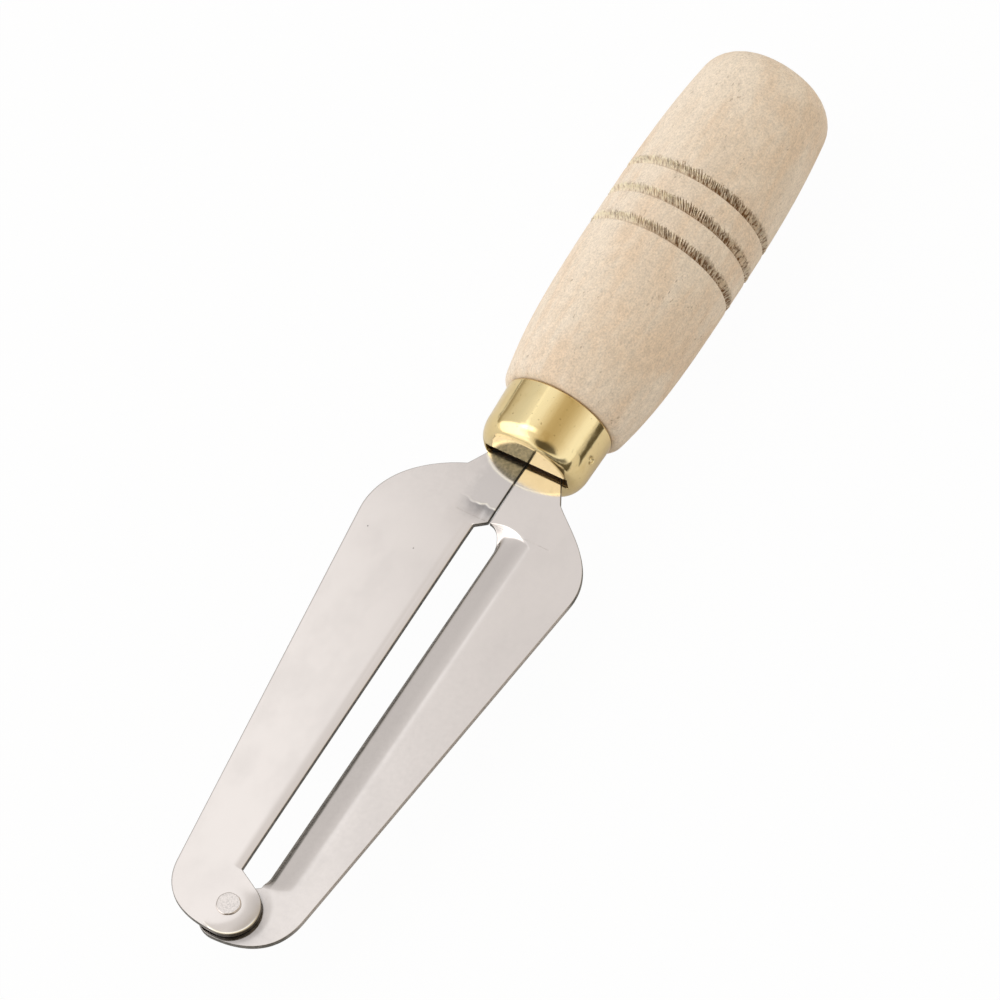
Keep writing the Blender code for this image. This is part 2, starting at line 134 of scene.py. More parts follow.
class Nodes:
    """Adds nodes to one tree.  A value that is an output is joined, any other value is set."""

    def __init__(self, tree):
        self.tree = tree

    def add(self, kind, **settings):
        node = self.tree.nodes.new(kind)
        for name, value in settings.items():
            setattr(node, name, value)
        return node

    def link(self, socket, value):
        if hasattr(value, "node"):
            self.tree.links.new(value, socket)
        else:
            socket.default_value = value

    def math(self, operation, first, second=0.0, clamp=False):
        node = self.add("ShaderNodeMath", operation=operation, use_clamp=clamp)
        self.link(node.inputs[0], first)
        self.link(node.inputs[1], second)
        return node.outputs[0]

    def times(self, first, *others):
        """Product of two or more values."""
        for other in others:
            first = self.math("MULTIPLY", first, other)
        return first

    def split(self, vector):
        """The X, Y and Z of a vector."""
        node = self.add("ShaderNodeSeparateXYZ")
        self.link(node.inputs[0], vector)
        return node.outputs["X"], node.outputs["Y"], node.outputs["Z"]

    def blend(self, factor, first, second, how="MIX"):
        node = self.add("ShaderNodeMix", data_type="RGBA", blend_type=how)
        for socket, value in zip((node.inputs[0], node.inputs[6], node.inputs[7]), (factor, first, second)):
            self.link(socket, value)
        return node.outputs[2]

    def range(self, value, low, high, out_low=0.0, out_high=1.0, smooth=True):
        """Map low..high onto out_low..out_high, with a smooth step by default."""
        node = self.add("ShaderNodeMapRange", interpolation_type="SMOOTHSTEP" if smooth else "LINEAR")
        for socket, given in zip(node.inputs, (value, low, high, out_low, out_high)):
            self.link(socket, given)
        return node.outputs["Result"]

    def window(self, value, low, high, soft):
        """1 between low and high, falling to 0 over a soft margin on each side."""
        return self.times(self.range(value, low - soft, low), self.range(value, high, high + soft, 1.0, 0.0))

    def ramp(self, value, stops):
        node = self.add("ShaderNodeValToRGB")
        ramp = node.color_ramp
        while len(ramp.elements) < len(stops):
            ramp.elements.new(0.5)
        for element, (place, colour) in zip(ramp.elements, stops):
            element.position = place
            element.color = (*colour, 1.0)
        self.link(node.inputs["Fac"], value)
        return node.outputs["Color"]

    def noise(self, vector, scale, detail=2.0, roughness=0.5, distortion=0.0):
        """Noise whose features are 1 / scale of a metre, with a scale for each axis."""
        mapping = self.add("ShaderNodeMapping")
        self.link(mapping.inputs["Vector"], vector)
        mapping.inputs["Scale"].default_value = scale
        node = self.add("ShaderNodeTexNoise")
        self.link(node.inputs["Vector"], mapping.outputs["Vector"])
        for name, value in (("Scale", 1.0), ("Detail", detail), ("Roughness", roughness),
                            ("Distortion", distortion)):
            node.inputs[name].default_value = value
        return node.outputs["Fac"]

    def mix_shaders(self, factor, first, second):
        node = self.add("ShaderNodeMixShader")
        for socket, value in zip(node.inputs, (factor, first, second)):
            self.link(socket, value)
        return node.outputs[0]


# %% [markdown]
# ## The studio
# Polished metal shows the room that it stands in, so the room is designed and not left to chance.
# The tool lies along Y, and the room is lit by long strips parallel to it.  A strip is named by the
# angle at which it stands round the tool, from 0 degrees level on the guard's side, over 90 degrees
# overhead, to 180 degrees level on the cutting side.  Beyond the tip three things break the strips: a
# large soft window on the cutting side, a dim upright place on the guard's side where the camera
# stands, and a dim band low down where the table ends.  Both dim places show in the ferrule's rounded
# front edge.  The world shader reads only the direction of a ray, and the camera sees plain white.

# %% Strips of light
STRIPS = (  # angle round the tool in degrees, brightness, warmth
    (-180, 0.80, 0.0), (0, 1.05, 0.0), (16, 1.05, 0.0),  # the floor, and a bright strip level with it
    (28, 0.88, 0.10), (40, 0.70, 0.22), (52, 0.58, 0.32),  # down to a warm dim wall
    (64, 0.54, 0.36), (76, 0.60, 0.32), (88, 0.82, 0.16),  # and up from it
    (100, 1.00, 0.02), (112, 1.04, 0.0),  # a bright strip overhead
    (124, 0.90, 0.0), (136, 0.78, 0.0), (160, 0.70, 0.08), (170, 0.60, 0.15),  # softer to the cutting side
    (176, 0.36, 0.25), (180, 0.34, 0.25),  # a dark line along the floor's edge
)


def toward(angle, lean):
    """Unit direction at an angle round the tool, leant towards the butt (+) or the tip (-)."""
    angle, lean = math.radians(angle), math.radians(lean)
    return Vector((math.cos(lean) * math.cos(angle), math.sin(lean), math.cos(lean) * math.sin(angle)))


def warm(level, warmth):
    """A grey level whose green is held back by half the warmth and whose blue by 1.3 times it."""
    return (level, level * (1 - 0.5 * warmth), level * (1 - 1.3 * warmth))


def light_strips(n, angle):
    """Brightness as a ramp over the whole turn round the tool."""
    stops = [((degrees + 180) / 360, warm(level, warmth)) for degrees, level, warmth in STRIPS]
    return n.ramp(n.range(angle, -180.0, 180.0, smooth=False), stops)


# %% World made of the strips
# Places are windows (low, high, soft margin) on a ray's direction, or steps (start, end) on it.
WHITE = (1.0, 1.0, 1.0, 1.0)
SHADE = 0.80
UPRIGHT_PLACE = dict(x=(0.14, 0.66, 0.16), ahead=(0.10, 0.52), z=(0.40, 0.78, 0.12))
LOW_PLACE = dict(x=(0.20, 0.92, 0.14), ahead=(0.20, 0.50), z=(-0.05, 0.13, 0.08))
SOFT_WINDOW = dict(light=0.60, angle=(126.0, 180.0, 30.0), ahead=(0.16, 0.86, 0.16))
WINDOW_CORE = dict(light=1.1, angle=(100.0, 114.0, 16.0), ahead=(0.04, 0.16, 0.14))


def dim_place(n, x, ahead, z, place):
    """1 for the rays that go to a dim place: a window on X times a step ahead times a window on Z."""
    return n.times(n.window(x, *place["x"]), n.range(ahead, *place["ahead"]), n.window(z, *place["z"]))


def lit_window(n, angle, ahead, window):
    """Light of a window: a window on the angle times one on the way ahead, times its brightness."""
    return n.times(n.window(angle, *window["angle"]), n.window(ahead, *window["ahead"]), window["light"])


def make_world():
    """Strips, times what the two dim places leave, plus the soft window and its bright core."""
    world = bpy.data.worlds.new("studio")
    bpy.context.scene.world = world
    world.use_nodes = True
    world.node_tree.nodes.clear()
    n = Nodes(world.node_tree)
    x, y, z = n.split(n.add("ShaderNodeTexCoord").outputs["Generated"])
    angle = n.times(n.math("ARCTAN2", z, x), 180 / math.pi)
    ahead = n.times(y, -1.0)
    dim = n.math("MAXIMUM", dim_place(n, x, ahead, z, UPRIGHT_PLACE), dim_place(n, x, ahead, z, LOW_PLACE))
    left = n.math("SUBTRACT", 1.0, n.times(dim, SHADE))
    light = n.blend(1.0, light_strips(n, angle), left, "MULTIPLY")
    added = n.math("ADD", lit_window(n, angle, ahead, SOFT_WINDOW), lit_window(n, angle, ahead, WINDOW_CORE))
    light = n.blend(1.0, light, added, "ADD")
    seen = n.add("ShaderNodeLightPath").outputs["Is Camera Ray"]
    background = n.add("ShaderNodeBackground")
    n.link(background.inputs["Color"], n.blend(seen, light, WHITE))
    n.link(n.add("ShaderNodeOutputWorld").inputs["Surface"], background.outputs[0])
    return len(world.node_tree.nodes)


bpy.context.scene.view_settings.view_transform = "Standard"
print("world nodes:", make_world())

# %% [markdown]
# ## The floor
# The peeler lies on a pale floor that fades to plain white for the camera, so only a breath of its
# shadow is left.  Part of that white is also shown to mirrored rays, because bare metal has to
# reflect the same floor that the picture shows.

# %% Floor
FLOOR_Z = -BELLY_RADIUS - 0.2 * MM
FLOOR_HALF = 2.0
PAPER_GREY = (0.80, 0.79, 0.78, 1.0)
WHITE_NEAR = 0.97
WHITE_FROM = (0.2, 0.6)
WHITE_MIRRORED = 0.15


def sheet_object(name, corners, material):
    """One flat face through four corners, marked as part of the stage."""
    mesh = bpy.data.meshes.new(name)
    mesh.from_pydata(corners, [], [(0, 1, 2, 3)])
    mesh.materials.append(material)
    made = bpy.data.objects.new(name, mesh)
    bpy.context.scene.collection.objects.link(made)
    return made


def level_square(middle, half, z):
    """Corners of a level square, in the order that makes it face up."""
    x, y = middle
    return [(x + half * right, y + half * up, z) for right, up in ((-1, -1), (1, -1), (1, 1), (-1, 1))]


def empty_material(name):
    made = bpy.data.materials.new(name)
    made.use_nodes = True
    made.node_tree.nodes.clear()
    return made, Nodes(made.node_tree)


def floor_paper():
    """Matt paper mixed with plain white: for the camera, wholly so away from the tool, and a little for
    mirrored rays.  From below it is clear, so that the underside can be looked at."""
    paper, n = empty_material("floor_paper")
    matt = n.add("ShaderNodeBsdfDiffuse")
    matt.inputs["Color"].default_value = PAPER_GREY
    path = n.add("ShaderNodeLightPath").outputs
    away = n.add("ShaderNodeVectorMath", operation="LENGTH")
    n.link(away.inputs[0], n.add("ShaderNodeTexCoord").outputs["Object"])
    for_camera = n.times(path["Is Camera Ray"], n.range(away.outputs["Value"], *WHITE_FROM, WHITE_NEAR, 1.0))
    mirrored = n.math("MAXIMUM", path["Is Glossy Ray"], path["Is Transmission Ray"])
    white = n.math("ADD", for_camera, n.times(mirrored, WHITE_MIRRORED))
    lit = n.mix_shaders(white, matt.outputs[0], n.add("ShaderNodeEmission").outputs[0])
    below = n.add("ShaderNodeNewGeometry").outputs["Backfacing"]
    either = n.mix_shaders(below, lit, n.add("ShaderNodeBsdfTransparent").outputs[0])
    n.link(n.add("ShaderNodeOutputMaterial").inputs["Surface"], either)
    return paper


floor = sheet_object("floor", level_square((0.0, 0.0), FLOOR_HALF, FLOOR_Z), floor_paper())
print("floor at %.1f mm" % (FLOOR_Z / MM))

# %% [markdown]
# ## Flags and a lamp
# Matt flags lie on the floor outside the picture, where only mirrored rays can see them: two are the
# thin dark lines down both flanks of the brass, and one darkens its rounded edge.  One faint soft
# lamp on the cutting side and towards the tip gives the wood its bright flank.

# %% Flags and lamp
FELT = (0.085, 0.072, 0.045, 1.0)
FLAG_LIFT = 0.3 * MM
FLAGS = dict(
    guard_side_flag=((0.060, -0.100), (0.105, -0.0665), (0.300, 0.0155), (0.060, 0.20)),
    cutting_side_flag=((-0.60, -0.03), (-0.32, -0.03), (-0.32, 0.30), (-0.60, 0.30)),
    tip_side_flag=((0.045, -0.70), (0.40, -0.70), (0.40, -0.14), (0.045, -0.14)),
)
BLADE_MIDDLE = Vector((0.0, blade_y(BLADE_REACH / 3), 0.0))
LAMP = dict(angle=140.0, lean=-24.0, distance=0.9, size=(1.1, 0.8), brightness=0.45)


def flag_felt():
    felt = bpy.data.materials.new("flag_felt")
    felt.use_nodes = True
    shader = felt.node_tree.nodes["Principled BSDF"]
    shader.inputs["Base Color"].default_value = FELT
    shader.inputs["Roughness"].default_value = 1.0
    return felt


def lay_flag(name, corners):
    """A dark patch just above the floor through (x, y) corners, that only mirrored rays can see."""
    flag = sheet_object(name, [(x, y, FLOOR_Z + FLAG_LIFT) for x, y in corners], flag_felt())
    flag.visible_camera = flag.visible_shadow = flag.visible_diffuse = flag.visible_transmission = False


def make_lamp(name, angle, lean, distance, size, brightness):
    """A long lamp that faces the blade.  Brightness is the white level that it shows in a mirror."""
    data = bpy.data.lights.new(name, "AREA")
    data.shape = "RECTANGLE"
    data.size, data.size_y = size
    data.energy = brightness * math.pi * size[0] * size[1]
    lamp = bpy.data.objects.new(name, data)
    back = toward(angle, lean)
    along = (Vector((0.0, 1.0, 0.0)) - back * back.y).normalized()
    lamp.matrix_world = matrix_from_axes(BLADE_MIDDLE + back * distance, (along.cross(back), along, back))
    bpy.context.scene.collection.objects.link(lamp)


for flag_name, flag_corners in FLAGS.items():
    lay_flag(flag_name, flag_corners)
make_lamp("key_lamp", **LAMP)
print("flags:", len(FLAGS))

# %% [markdown]
# ## A soft glow over the blade
# The flat leaves are mirrors too.  They grow brighter towards the tip, as flat metal does when the
# light above it is near.  A clear panel overhead adds that light: a mirrored ray from the blade meets
# the panel at a fixed shift, so a slope of brightness drawn on the panel is seen on the leaves.

# %% Glow panel
PANEL_HEIGHT = 0.40
PANEL_HALF = 0.2
GLOW_LEVEL = 0.33
GLOW_COLOUR = (0.93, 1.0, 1.05, 1.0)
GLOW_GROWTH = (0.6, 1.1)  # towards the tip, and towards the cutting side
GLOW_STEP = (0.004, 0.070)
GLOW_ALONG = (-0.02, 0.16, 0.10)
GLOW_ACROSS = (-0.03, 0.03, 0.02)


def make_glow_panel():
    """Clear panel that adds light: a smooth step over a slope that climbs to the tip and to the cutting
    side, within a window along the blade and one across it."""
    mirrored = Vector((-math.sin(LEAN_SIDE) * math.cos(LEAN_TIP), math.sin(LEAN_TIP),
                       math.cos(LEAN_SIDE) * math.cos(LEAN_TIP)))
    shift = mirrored * (PANEL_HEIGHT / mirrored.z)
    glow, n = empty_material("glow_panel")
    x, y, z = n.split(n.add("ShaderNodeTexCoord").outputs["Object"])
    reach = n.math("SUBTRACT", FACE_Y + shift.y, y)
    side = n.math("SUBTRACT", x, shift.x)
    slope = n.math("SUBTRACT", n.times(reach, GLOW_GROWTH[0]), n.times(side, GLOW_GROWTH[1]))
    level = n.times(n.range(slope, *GLOW_STEP), n.window(reach, *GLOW_ALONG), n.window(side, *GLOW_ACROSS))
    light = n.add("ShaderNodeEmission")
    light.inputs["Color"].default_value = GLOW_COLOUR
    n.link(light.inputs["Strength"], n.times(level, GLOW_LEVEL))
    both = n.add("ShaderNodeAddShader")
    n.link(both.inputs[0], n.add("ShaderNodeBsdfTransparent").outputs[0])
    n.link(both.inputs[1], light.outputs[0])
    n.link(n.add("ShaderNodeOutputMaterial").inputs["Surface"], both.outputs[0])
    middle = (shift.x, blade_y(BLADE_REACH / 2) + shift.y)
    panel = sheet_object("glow_panel", level_square(middle, PANEL_HALF, PANEL_HEIGHT), glow)
    panel.visible_camera = panel.visible_shadow = False


make_glow_panel()

# %% [markdown]
# ## Surfaces from grids
# Every new part is one grid of points: rows run one way over the surface and columns the other.  The
# columns close on themselves, as round a handle, and the rows can too, as round a ring.  Where a grid
# ends in a point or a line, its last points coincide and are merged, so every part is a closed solid.

# %% A mesh from a grid of points
MERGE_WITHIN = 0.002 * MM
SHRUNK_BELOW = 0.001 * MM


def close_mesh(mesh):
    """Merge the points that coincide, drop faces that shrank to a line, and point the faces outwards."""
    bm = bmesh.new()
    bm.from_mesh(mesh)
    bmesh.ops.remove_doubles(bm, verts=bm.verts, dist=MERGE_WITHIN)
    bmesh.ops.dissolve_degenerate(bm, edges=bm.edges, dist=SHRUNK_BELOW)
    bmesh.ops.recalc_face_normals(bm, faces=bm.faces)
    open_edges = sum(1 for edge in bm.edges if not edge.is_manifold)
    bm.to_mesh(mesh)
    bm.free()
    print("open edges:", open_edges)


def grid_object(name, points, material, close_rows=False, attributes=None):
    """Join a (rows, columns, 3) array of points into quads; neighbours are found with index arithmetic.
    Attributes are (rows, columns) arrays that the material can read by name."""
    rows, columns = points.shape[:2]
    index = np.arange(rows * columns).reshape(rows, columns)
    down = np.roll(index, -1, axis=0) if close_rows else index[1:]
    here = index if close_rows else index[:-1]
    quads = np.stack([here, np.roll(here, -1, axis=1), np.roll(down, -1, axis=1), down], axis=-1)
    quads = quads.reshape(-1, 4)
    mesh = bpy.data.meshes.new(name)
    mesh.vertices.add(rows * columns)
    mesh.vertices.foreach_set("co", points.reshape(-1).astype(np.float32))
    mesh.loops.add(quads.size)
    mesh.loops.foreach_set("vertex_index", quads.reshape(-1).astype(np.int32))
    mesh.polygons.add(len(quads))
    mesh.polygons.foreach_set("loop_start", np.arange(0, quads.size, 4, dtype=np.int32))
    for key, values in (attributes or {}).items():
        layer = mesh.attributes.new(key, "FLOAT", "POINT")
        flat = np.broadcast_to(values, (rows, columns)).reshape(-1)
        layer.data.foreach_set("value", flat.astype(np.float32))
    mesh.update(calc_edges=True)
    close_mesh(mesh)
    mesh.shade_smooth()
    mesh.materials.append(material)
    made = bpy.data.objects.new(name, mesh)
    bpy.context.scene.collection.objects.link(made)
    print("%s: %d rows x %d columns, %d faces" % (name, rows, columns, len(mesh.polygons)))
    return made


# %% [markdown]
# ## Soft steps and lines
# Wear, dirt and small forms begin and end softly.  Three little functions say where.  A smooth step
# climbs from 0 to 1 with no corner at either end.  The same step, given where it starts and how long
# it is, says "from here on".  A bell says "along this line".

# %% Smooth step, fade and line


def smooth(value):
    """Smooth step of an array from 0 to 1: three times its square less twice its cube."""
    value = np.clip(value, 0.0, 1.0)
    return value * value * (3 - 2 * value)


def fade(value, start, over):
    """Smooth step from a start and over a length, both in millimetres."""
    return smooth((value - start * MM) / (over * MM))


def on_line(distance, half_width):
    """1 at no distance from a line, falling off as a bell whose half width is in millimetres."""
    return np.exp(-(distance / (half_width * MM)) ** 2)


def around_axis(radius, y, angle):
    """Points at a radius and a Y, carried round the tool's axis: cosine for X and sine for Z."""
    return np.stack([radius * np.cos(angle), y + 0 * radius, radius * np.sin(angle)], axis=-1)


# %% [markdown]
# ## Bare wood
# The handle is pale wood straight from the lathe, with no varnish.  Up close it has four layers: soft
# patches of tone as the grain comes and goes, streaks along the grain, short dark pores that come in
# groups, and a fine speckle from sanding.  All are noise read in the handle's own coordinates, and
# all are stretched along Y, as grain is.

# %% Wood layers
WOOD_CREAM = (0.880, 0.765, 0.635, 1.0)
WOOD_TAN = (0.830, 0.668, 0.512, 1.0)
WOOD_GREY = (0.825, 0.705, 0.575, 1.0)
WOOD_PORE = (0.300, 0.195, 0.120, 1.0)
PATCH_SHARE = 0.7
GREY_SHARE = 0.75
SPECKLE_DEPTH = 0.17
MOTTLE_DEPTH = 0.06
PORE_SHARE = 0.55


def new_material(name):
    made = bpy.data.materials.new(name)
    made.use_nodes = True
    return made, Nodes(made.node_tree), made.node_tree.nodes["Principled BSDF"]


def attribute(n, name):
    return n.add("ShaderNodeAttribute", attribute_name=name).outputs["Fac"]


def add_bump(n, shader, height, distance, strength):
    bump = n.add("ShaderNodeBump")
    bump.inputs["Distance"].default_value = distance
    bump.inputs["Strength"].default_value = strength
    n.link(bump.inputs["Height"], height)
    n.link(shader.inputs["Normal"], bump.outputs["Normal"])


def wood_tone(n, place):
    """Cream to tan with patches and streaks, and grey where a slow noise is high."""
    patches = n.noise(place, (75.0, 34.0, 75.0), 3.0, 0.55, 0.8)
    streaks = n.noise(place, (420.0, 40.0, 420.0), 3.0, 0.55, 0.4)
    tone = n.math("ADD", n.times(patches, PATCH_SHARE), n.times(streaks, 1 - PATCH_SHARE))
    colour = n.blend(n.range(tone, 0.40, 0.62), WOOD_CREAM, WOOD_TAN)
    smoke = n.noise(place, (48.0, 30.0, 48.0), 2.0, 0.5, 1.2)
    return n.blend(n.range(smoke, 0.52, 0.68, 0.0, GREY_SHARE), colour, WOOD_GREY)


def wood_speckle(n, place, colour):
    """The colour times 0.97 less a fine and a coarse noise, and the height of both together."""
    speckle = n.noise(place, (2700.0, 2000.0, 2700.0), 2.0, 0.65)
    mottle = n.noise(place, (900.0, 560.0, 900.0), 2.0, 0.6)
    fine = n.range(speckle, 0.25, 0.75, -SPECKLE_DEPTH, SPECKLE_DEPTH, False)
    coarse = n.range(mottle, 0.3, 0.7, -MOTTLE_DEPTH, MOTTLE_DEPTH, False)
    shade = n.math("SUBTRACT", 0.97, n.math("ADD", fine, coarse))
    return n.blend(1.0, colour, shade, "MULTIPLY"), n.math("ADD", speckle, mottle)


def wood_pores(n, place):
    """1 in a short pore: the peaks of a fine noise, where a slow noise lets a group of them be."""
    groups = n.range(n.noise(place, (130.0, 90.0, 130.0), 1.0), 0.48, 0.66)
    pores = n.noise(place, (1900.0, 700.0, 1900.0), 1.0, 0.5, 0.6)
    return n.times(n.range(pores, 0.66, 0.76), groups)


# %% [markdown]
# ## Wood in the grooves
# The cut grooves are painted brown inside, partly the wood's own colour and partly painted shade,
# and the fibres that the tool tore stand pale over them, partly as a painted highlight.  The mesh
# carries three attributes that say where: `groove` for the dark floor, `torn` for the fringe, and
# `fibre` for the pale tips.  In the fringe short strokes, finer than the mesh, lean as the fibres do,
# with painted shade between them.

# %% Wood finish
# Brown of the cut and the gaps: partly the wood's own colour, partly painted shade.
GROOVE_SHADE_BROWN = (0.180, 0.074, 0.014, 1.0)
# Cream of the torn fibre tips: partly their own paleness, partly a painted highlight.
FIBRE_HIGHLIGHT_CREAM = (0.950, 0.850, 0.640, 1.0)
GROOVE_SHARE = 0.95
STROKE_LEAN = 0.50
STROKE_SCALE = (2500.0, 620.0, 1.0)
STROKE_BIAS = 0.35
FLUFF_REACH = 1.15


def fibre_strokes(n, place):
    """Short strokes round the handle that lean like the torn fibres: 0 on a fibre and 1 between two."""
    x, y, z = n.split(place)
    around = n.times(n.math("ARCTAN2", z, x), BELLY_RADIUS)
    joined = n.add("ShaderNodeCombineXYZ")
    n.link(joined.inputs["X"], n.math("SUBTRACT", around, n.times(y, STROKE_LEAN)))
    n.link(joined.inputs["Y"], y)
    return n.range(n.noise(joined.outputs[0], STROKE_SCALE, 2.0, 0.55, 0.3), 0.43, 0.60)


def wood_finish():
    """Tone, speckle and pores, then brown by 'groove' and between strokes where the wood is 'torn', partly
    painted shade, and cream by 'fibre', partly a painted highlight."""
    made, n, shader = new_material("bare_wood")
    place = n.add("ShaderNodeTexCoord").outputs["Object"]
    colour, grain = wood_speckle(n, place, wood_tone(n, place))
    pore = wood_pores(n, place)
    colour = n.blend(n.times(pore, PORE_SHARE), colour, WOOD_PORE)
    strokes = fibre_strokes(n, place)
    gaps = n.times(attribute(n, "torn"), n.math("SUBTRACT", strokes, STROKE_BIAS))
    dark = n.math("ADD", attribute(n, "groove"), gaps, clamp=True)
    colour = n.blend(n.times(dark, GROOVE_SHARE), colour, GROOVE_SHADE_BROWN)
    # Cream on the fibre tips, partly a painted highlight.
    fibre_tip_highlight = n.times(attribute(n, "fibre"), n.math("SUBTRACT", FLUFF_REACH, strokes))
    n.link(shader.inputs["Base Color"], n.blend(fibre_tip_highlight, colour, FIBRE_HIGHLIGHT_CREAM))
    shader.inputs["Roughness"].default_value = 0.8
    shader.inputs["Specular IOR Level"].default_value = 0.2
    add_bump(n, shader, n.math("SUBTRACT", grain, pore), 0.11 * MM, 0.7)
    return made


# %% [markdown]
# ## The handle
# The handle is one turned piece.  Its side swells to a belly and falls away both ways, each way on a
# power curve, and its butt is a quarter circle.  Inside the ferrule it steps down to a tenon, with a
# sawn kerf that holds the tangs of the leaves.  So one path runs from the middle of the butt, over
# the side, round the tenon and down into the kerf, and it is carried round the axis.

# %% Handle sizes
BELLY_FROM_BUTT = 44.0 * MM
BUTT_RADIUS = 14.0 * MM
BUTT_ROUNDING = 7.0 * MM
BUTT_CURVE = 2.5
SHOULDER_RADIUS = FERRULE_RADIUS + 1.3 * MM
SHOULDER_ROUNDING = 1.8 * MM
SHOULDER_CURVE = 3.6
GROOVES = np.array((35.9, 43.5, 51.1)) * MM
GROOVE_HALF = 0.95 * MM
GROOVE_DEPTH = 1.0 * MM
ROW_STEP = 3.0 * MM
FINE_ROWS = np.concatenate([np.linspace(-2.5, -1.2, 7), np.linspace(-1.0, 1.15, 13)]) * MM
FINE_MIDDLE = -0.6 * MM
FINE_HALF = 2.5 * MM
HANDLE_COLUMNS = 880


def side_radius(from_butt):
    """The belly's radius less a share of the fall to the end, the share being a power of the way."""
    to_butt = np.clip((BELLY_FROM_BUTT - from_butt) / BELLY_FROM_BUTT, 0.0, None)
    to_seat = np.clip((from_butt - BELLY_FROM_BUTT) / (HANDLE_LENGTH - BELLY_FROM_BUTT), 0.0, None)
    return (BELLY_RADIUS - (BELLY_RADIUS - BUTT_RADIUS) * to_butt ** BUTT_CURVE
            - (BELLY_RADIUS - SHOULDER_RADIUS) * to_seat ** SHOULDER_CURVE)


def side_stations():
    """Distances from the butt along the side: three millimetres apart, and close together at the
    grooves, where the torn fibres need it."""
    plain = np.arange(BUTT_ROUNDING, HANDLE_LENGTH - SHOULDER_ROUNDING, ROW_STEP)
    fine = (GROOVES[:, None] + FINE_ROWS[None, :]).ravel()
    clear = np.all(np.abs(plain[:, None] - GROOVES[None, :] - FINE_MIDDLE) > FINE_HALF, axis=1)
    return np.sort(np.concatenate([plain[clear], fine, [HANDLE_LENGTH - SHOULDER_ROUNDING]]))


def handle_path():
    """(radius, distance from the butt) along the butt, the side and the shoulder."""
    turn = np.linspace(0.0, math.pi / 2, 10)
    flat = np.linspace(0.0, side_radius(0.0) - BUTT_ROUNDING, 4)[:-1]
    butt_along = BUTT_ROUNDING * (1 - np.cos(turn))
    butt = side_radius(butt_along) - BUTT_ROUNDING * (1 - np.sin(turn))
    side = side_stations()[1:]
    turn = np.linspace(0.0, math.pi / 2, 6)[1:]
    end_along = side[-1] + SHOULDER_ROUNDING * np.sin(turn)
    end = side_radius(end_along) - SHOULDER_ROUNDING * (1 - np.cos(turn))
    radius = np.concatenate([flat, butt, side_radius(side), end])
    along = np.concatenate([flat * 0.0, butt_along, side, end_along])
    return radius, along


# %% [markdown]
# ## Torn grooves
# A narrow tool cut the three grooves across the grain.  On the blade's side of each groove the edge
# is clean, and on the butt's side it tore the fibres, which stand there like the teeth of a comb with
# dark gaps between.  A tooth is a bump across the grain, and each has its own width, length and lift,
# drawn at random but the same in every run.  The cut and the gaps are painted dark, most on the guard's
# side, away from the light, as painted shade, and on the cutting side, where the light falls, the torn
# fibres are painted pale and fuzzy, as a painted highlight.

# %% Teeth of torn fibre
TOOTH_WIDTH = (0.34 * MM, 0.74 * MM)
TOOTH_DRAWS = 400
FIRST_SEED = 21
LEAN_WAVE = 0.25
WAVES_ROUND = 9


def torn_teeth(groove, beyond, angle):
    """For every row and column the tooth's height across, 0 in a gap and 1 on its back, and the tooth's
    own length and lift.  Teeth lean a little, so a column shifts with its distance from the groove."""
    random = np.random.default_rng(FIRST_SEED + groove)
    around = 2 * math.pi * BELLY_RADIUS
    ends = np.cumsum(random.uniform(*TOOTH_WIDTH, TOOTH_DRAWS))
    ends = ends[ends < around]
    ends *= around / ends[-1]
    lean = (STROKE_LEAN + LEAN_WAVE * np.sin(WAVES_ROUND * angle + groove))[None, :]
    across = (angle[None, :] * BELLY_RADIUS + lean * beyond[:, None]) % around
    tooth = np.minimum(np.searchsorted(ends, across), len(ends) - 1)
    begins = np.concatenate([[0.0], ends])
    share = (across - begins[tooth]) / (ends[tooth] - begins[tooth])
    length, lift = random.random((2, len(ends)))
    return np.sin(math.pi * np.clip(share, 0.0, 1.0)), length[tooth], lift[tooth]


# %% Cut the grooves
# The grooves' painted shade is strongest round the guard's side, away from the light, and least on the
# cutting side.
SHADED_SIDE = math.radians(20.0)
LIT_SIDE_SHARE = 0.18
BURR_LIFT = 0.16 * MM


def groove_shade_round(angle):
    """Painted shade for the grooves: most on the guard's side, away from the light, and falling off as
    the cube of a smooth step.
    """
    return LIT_SIDE_SHARE + (1 - LIT_SIDE_SHARE) * smooth(0.5 + 0.5 * np.cos(angle - SHADED_SIDE)) ** 3


def groove_section(where, back, length):
    """How deep the cut is, how far the teeth hang over it, and the zone of the fringe, across a groove
    from -1 at its torn edge to 1 at its clean one.  Gaps open early, and teeth end late."""
    start = -1.0 - (0.15 + 1.25 * length) * (1 - back)
    inside = smooth((where - start) / (0.50 + 0.80 * back * (0.5 + length))) * smooth((1.05 - where) / 0.40)
    hanging = back * (1 - smooth((where - 0.5 * length + 0.2) / 0.6))
    zone = smooth((where + 1.9 - 0.8 * length) / 0.5) * (1 - smooth((where - 0.1 - 0.4 * length) / 0.4))
    return inside, hanging, zone


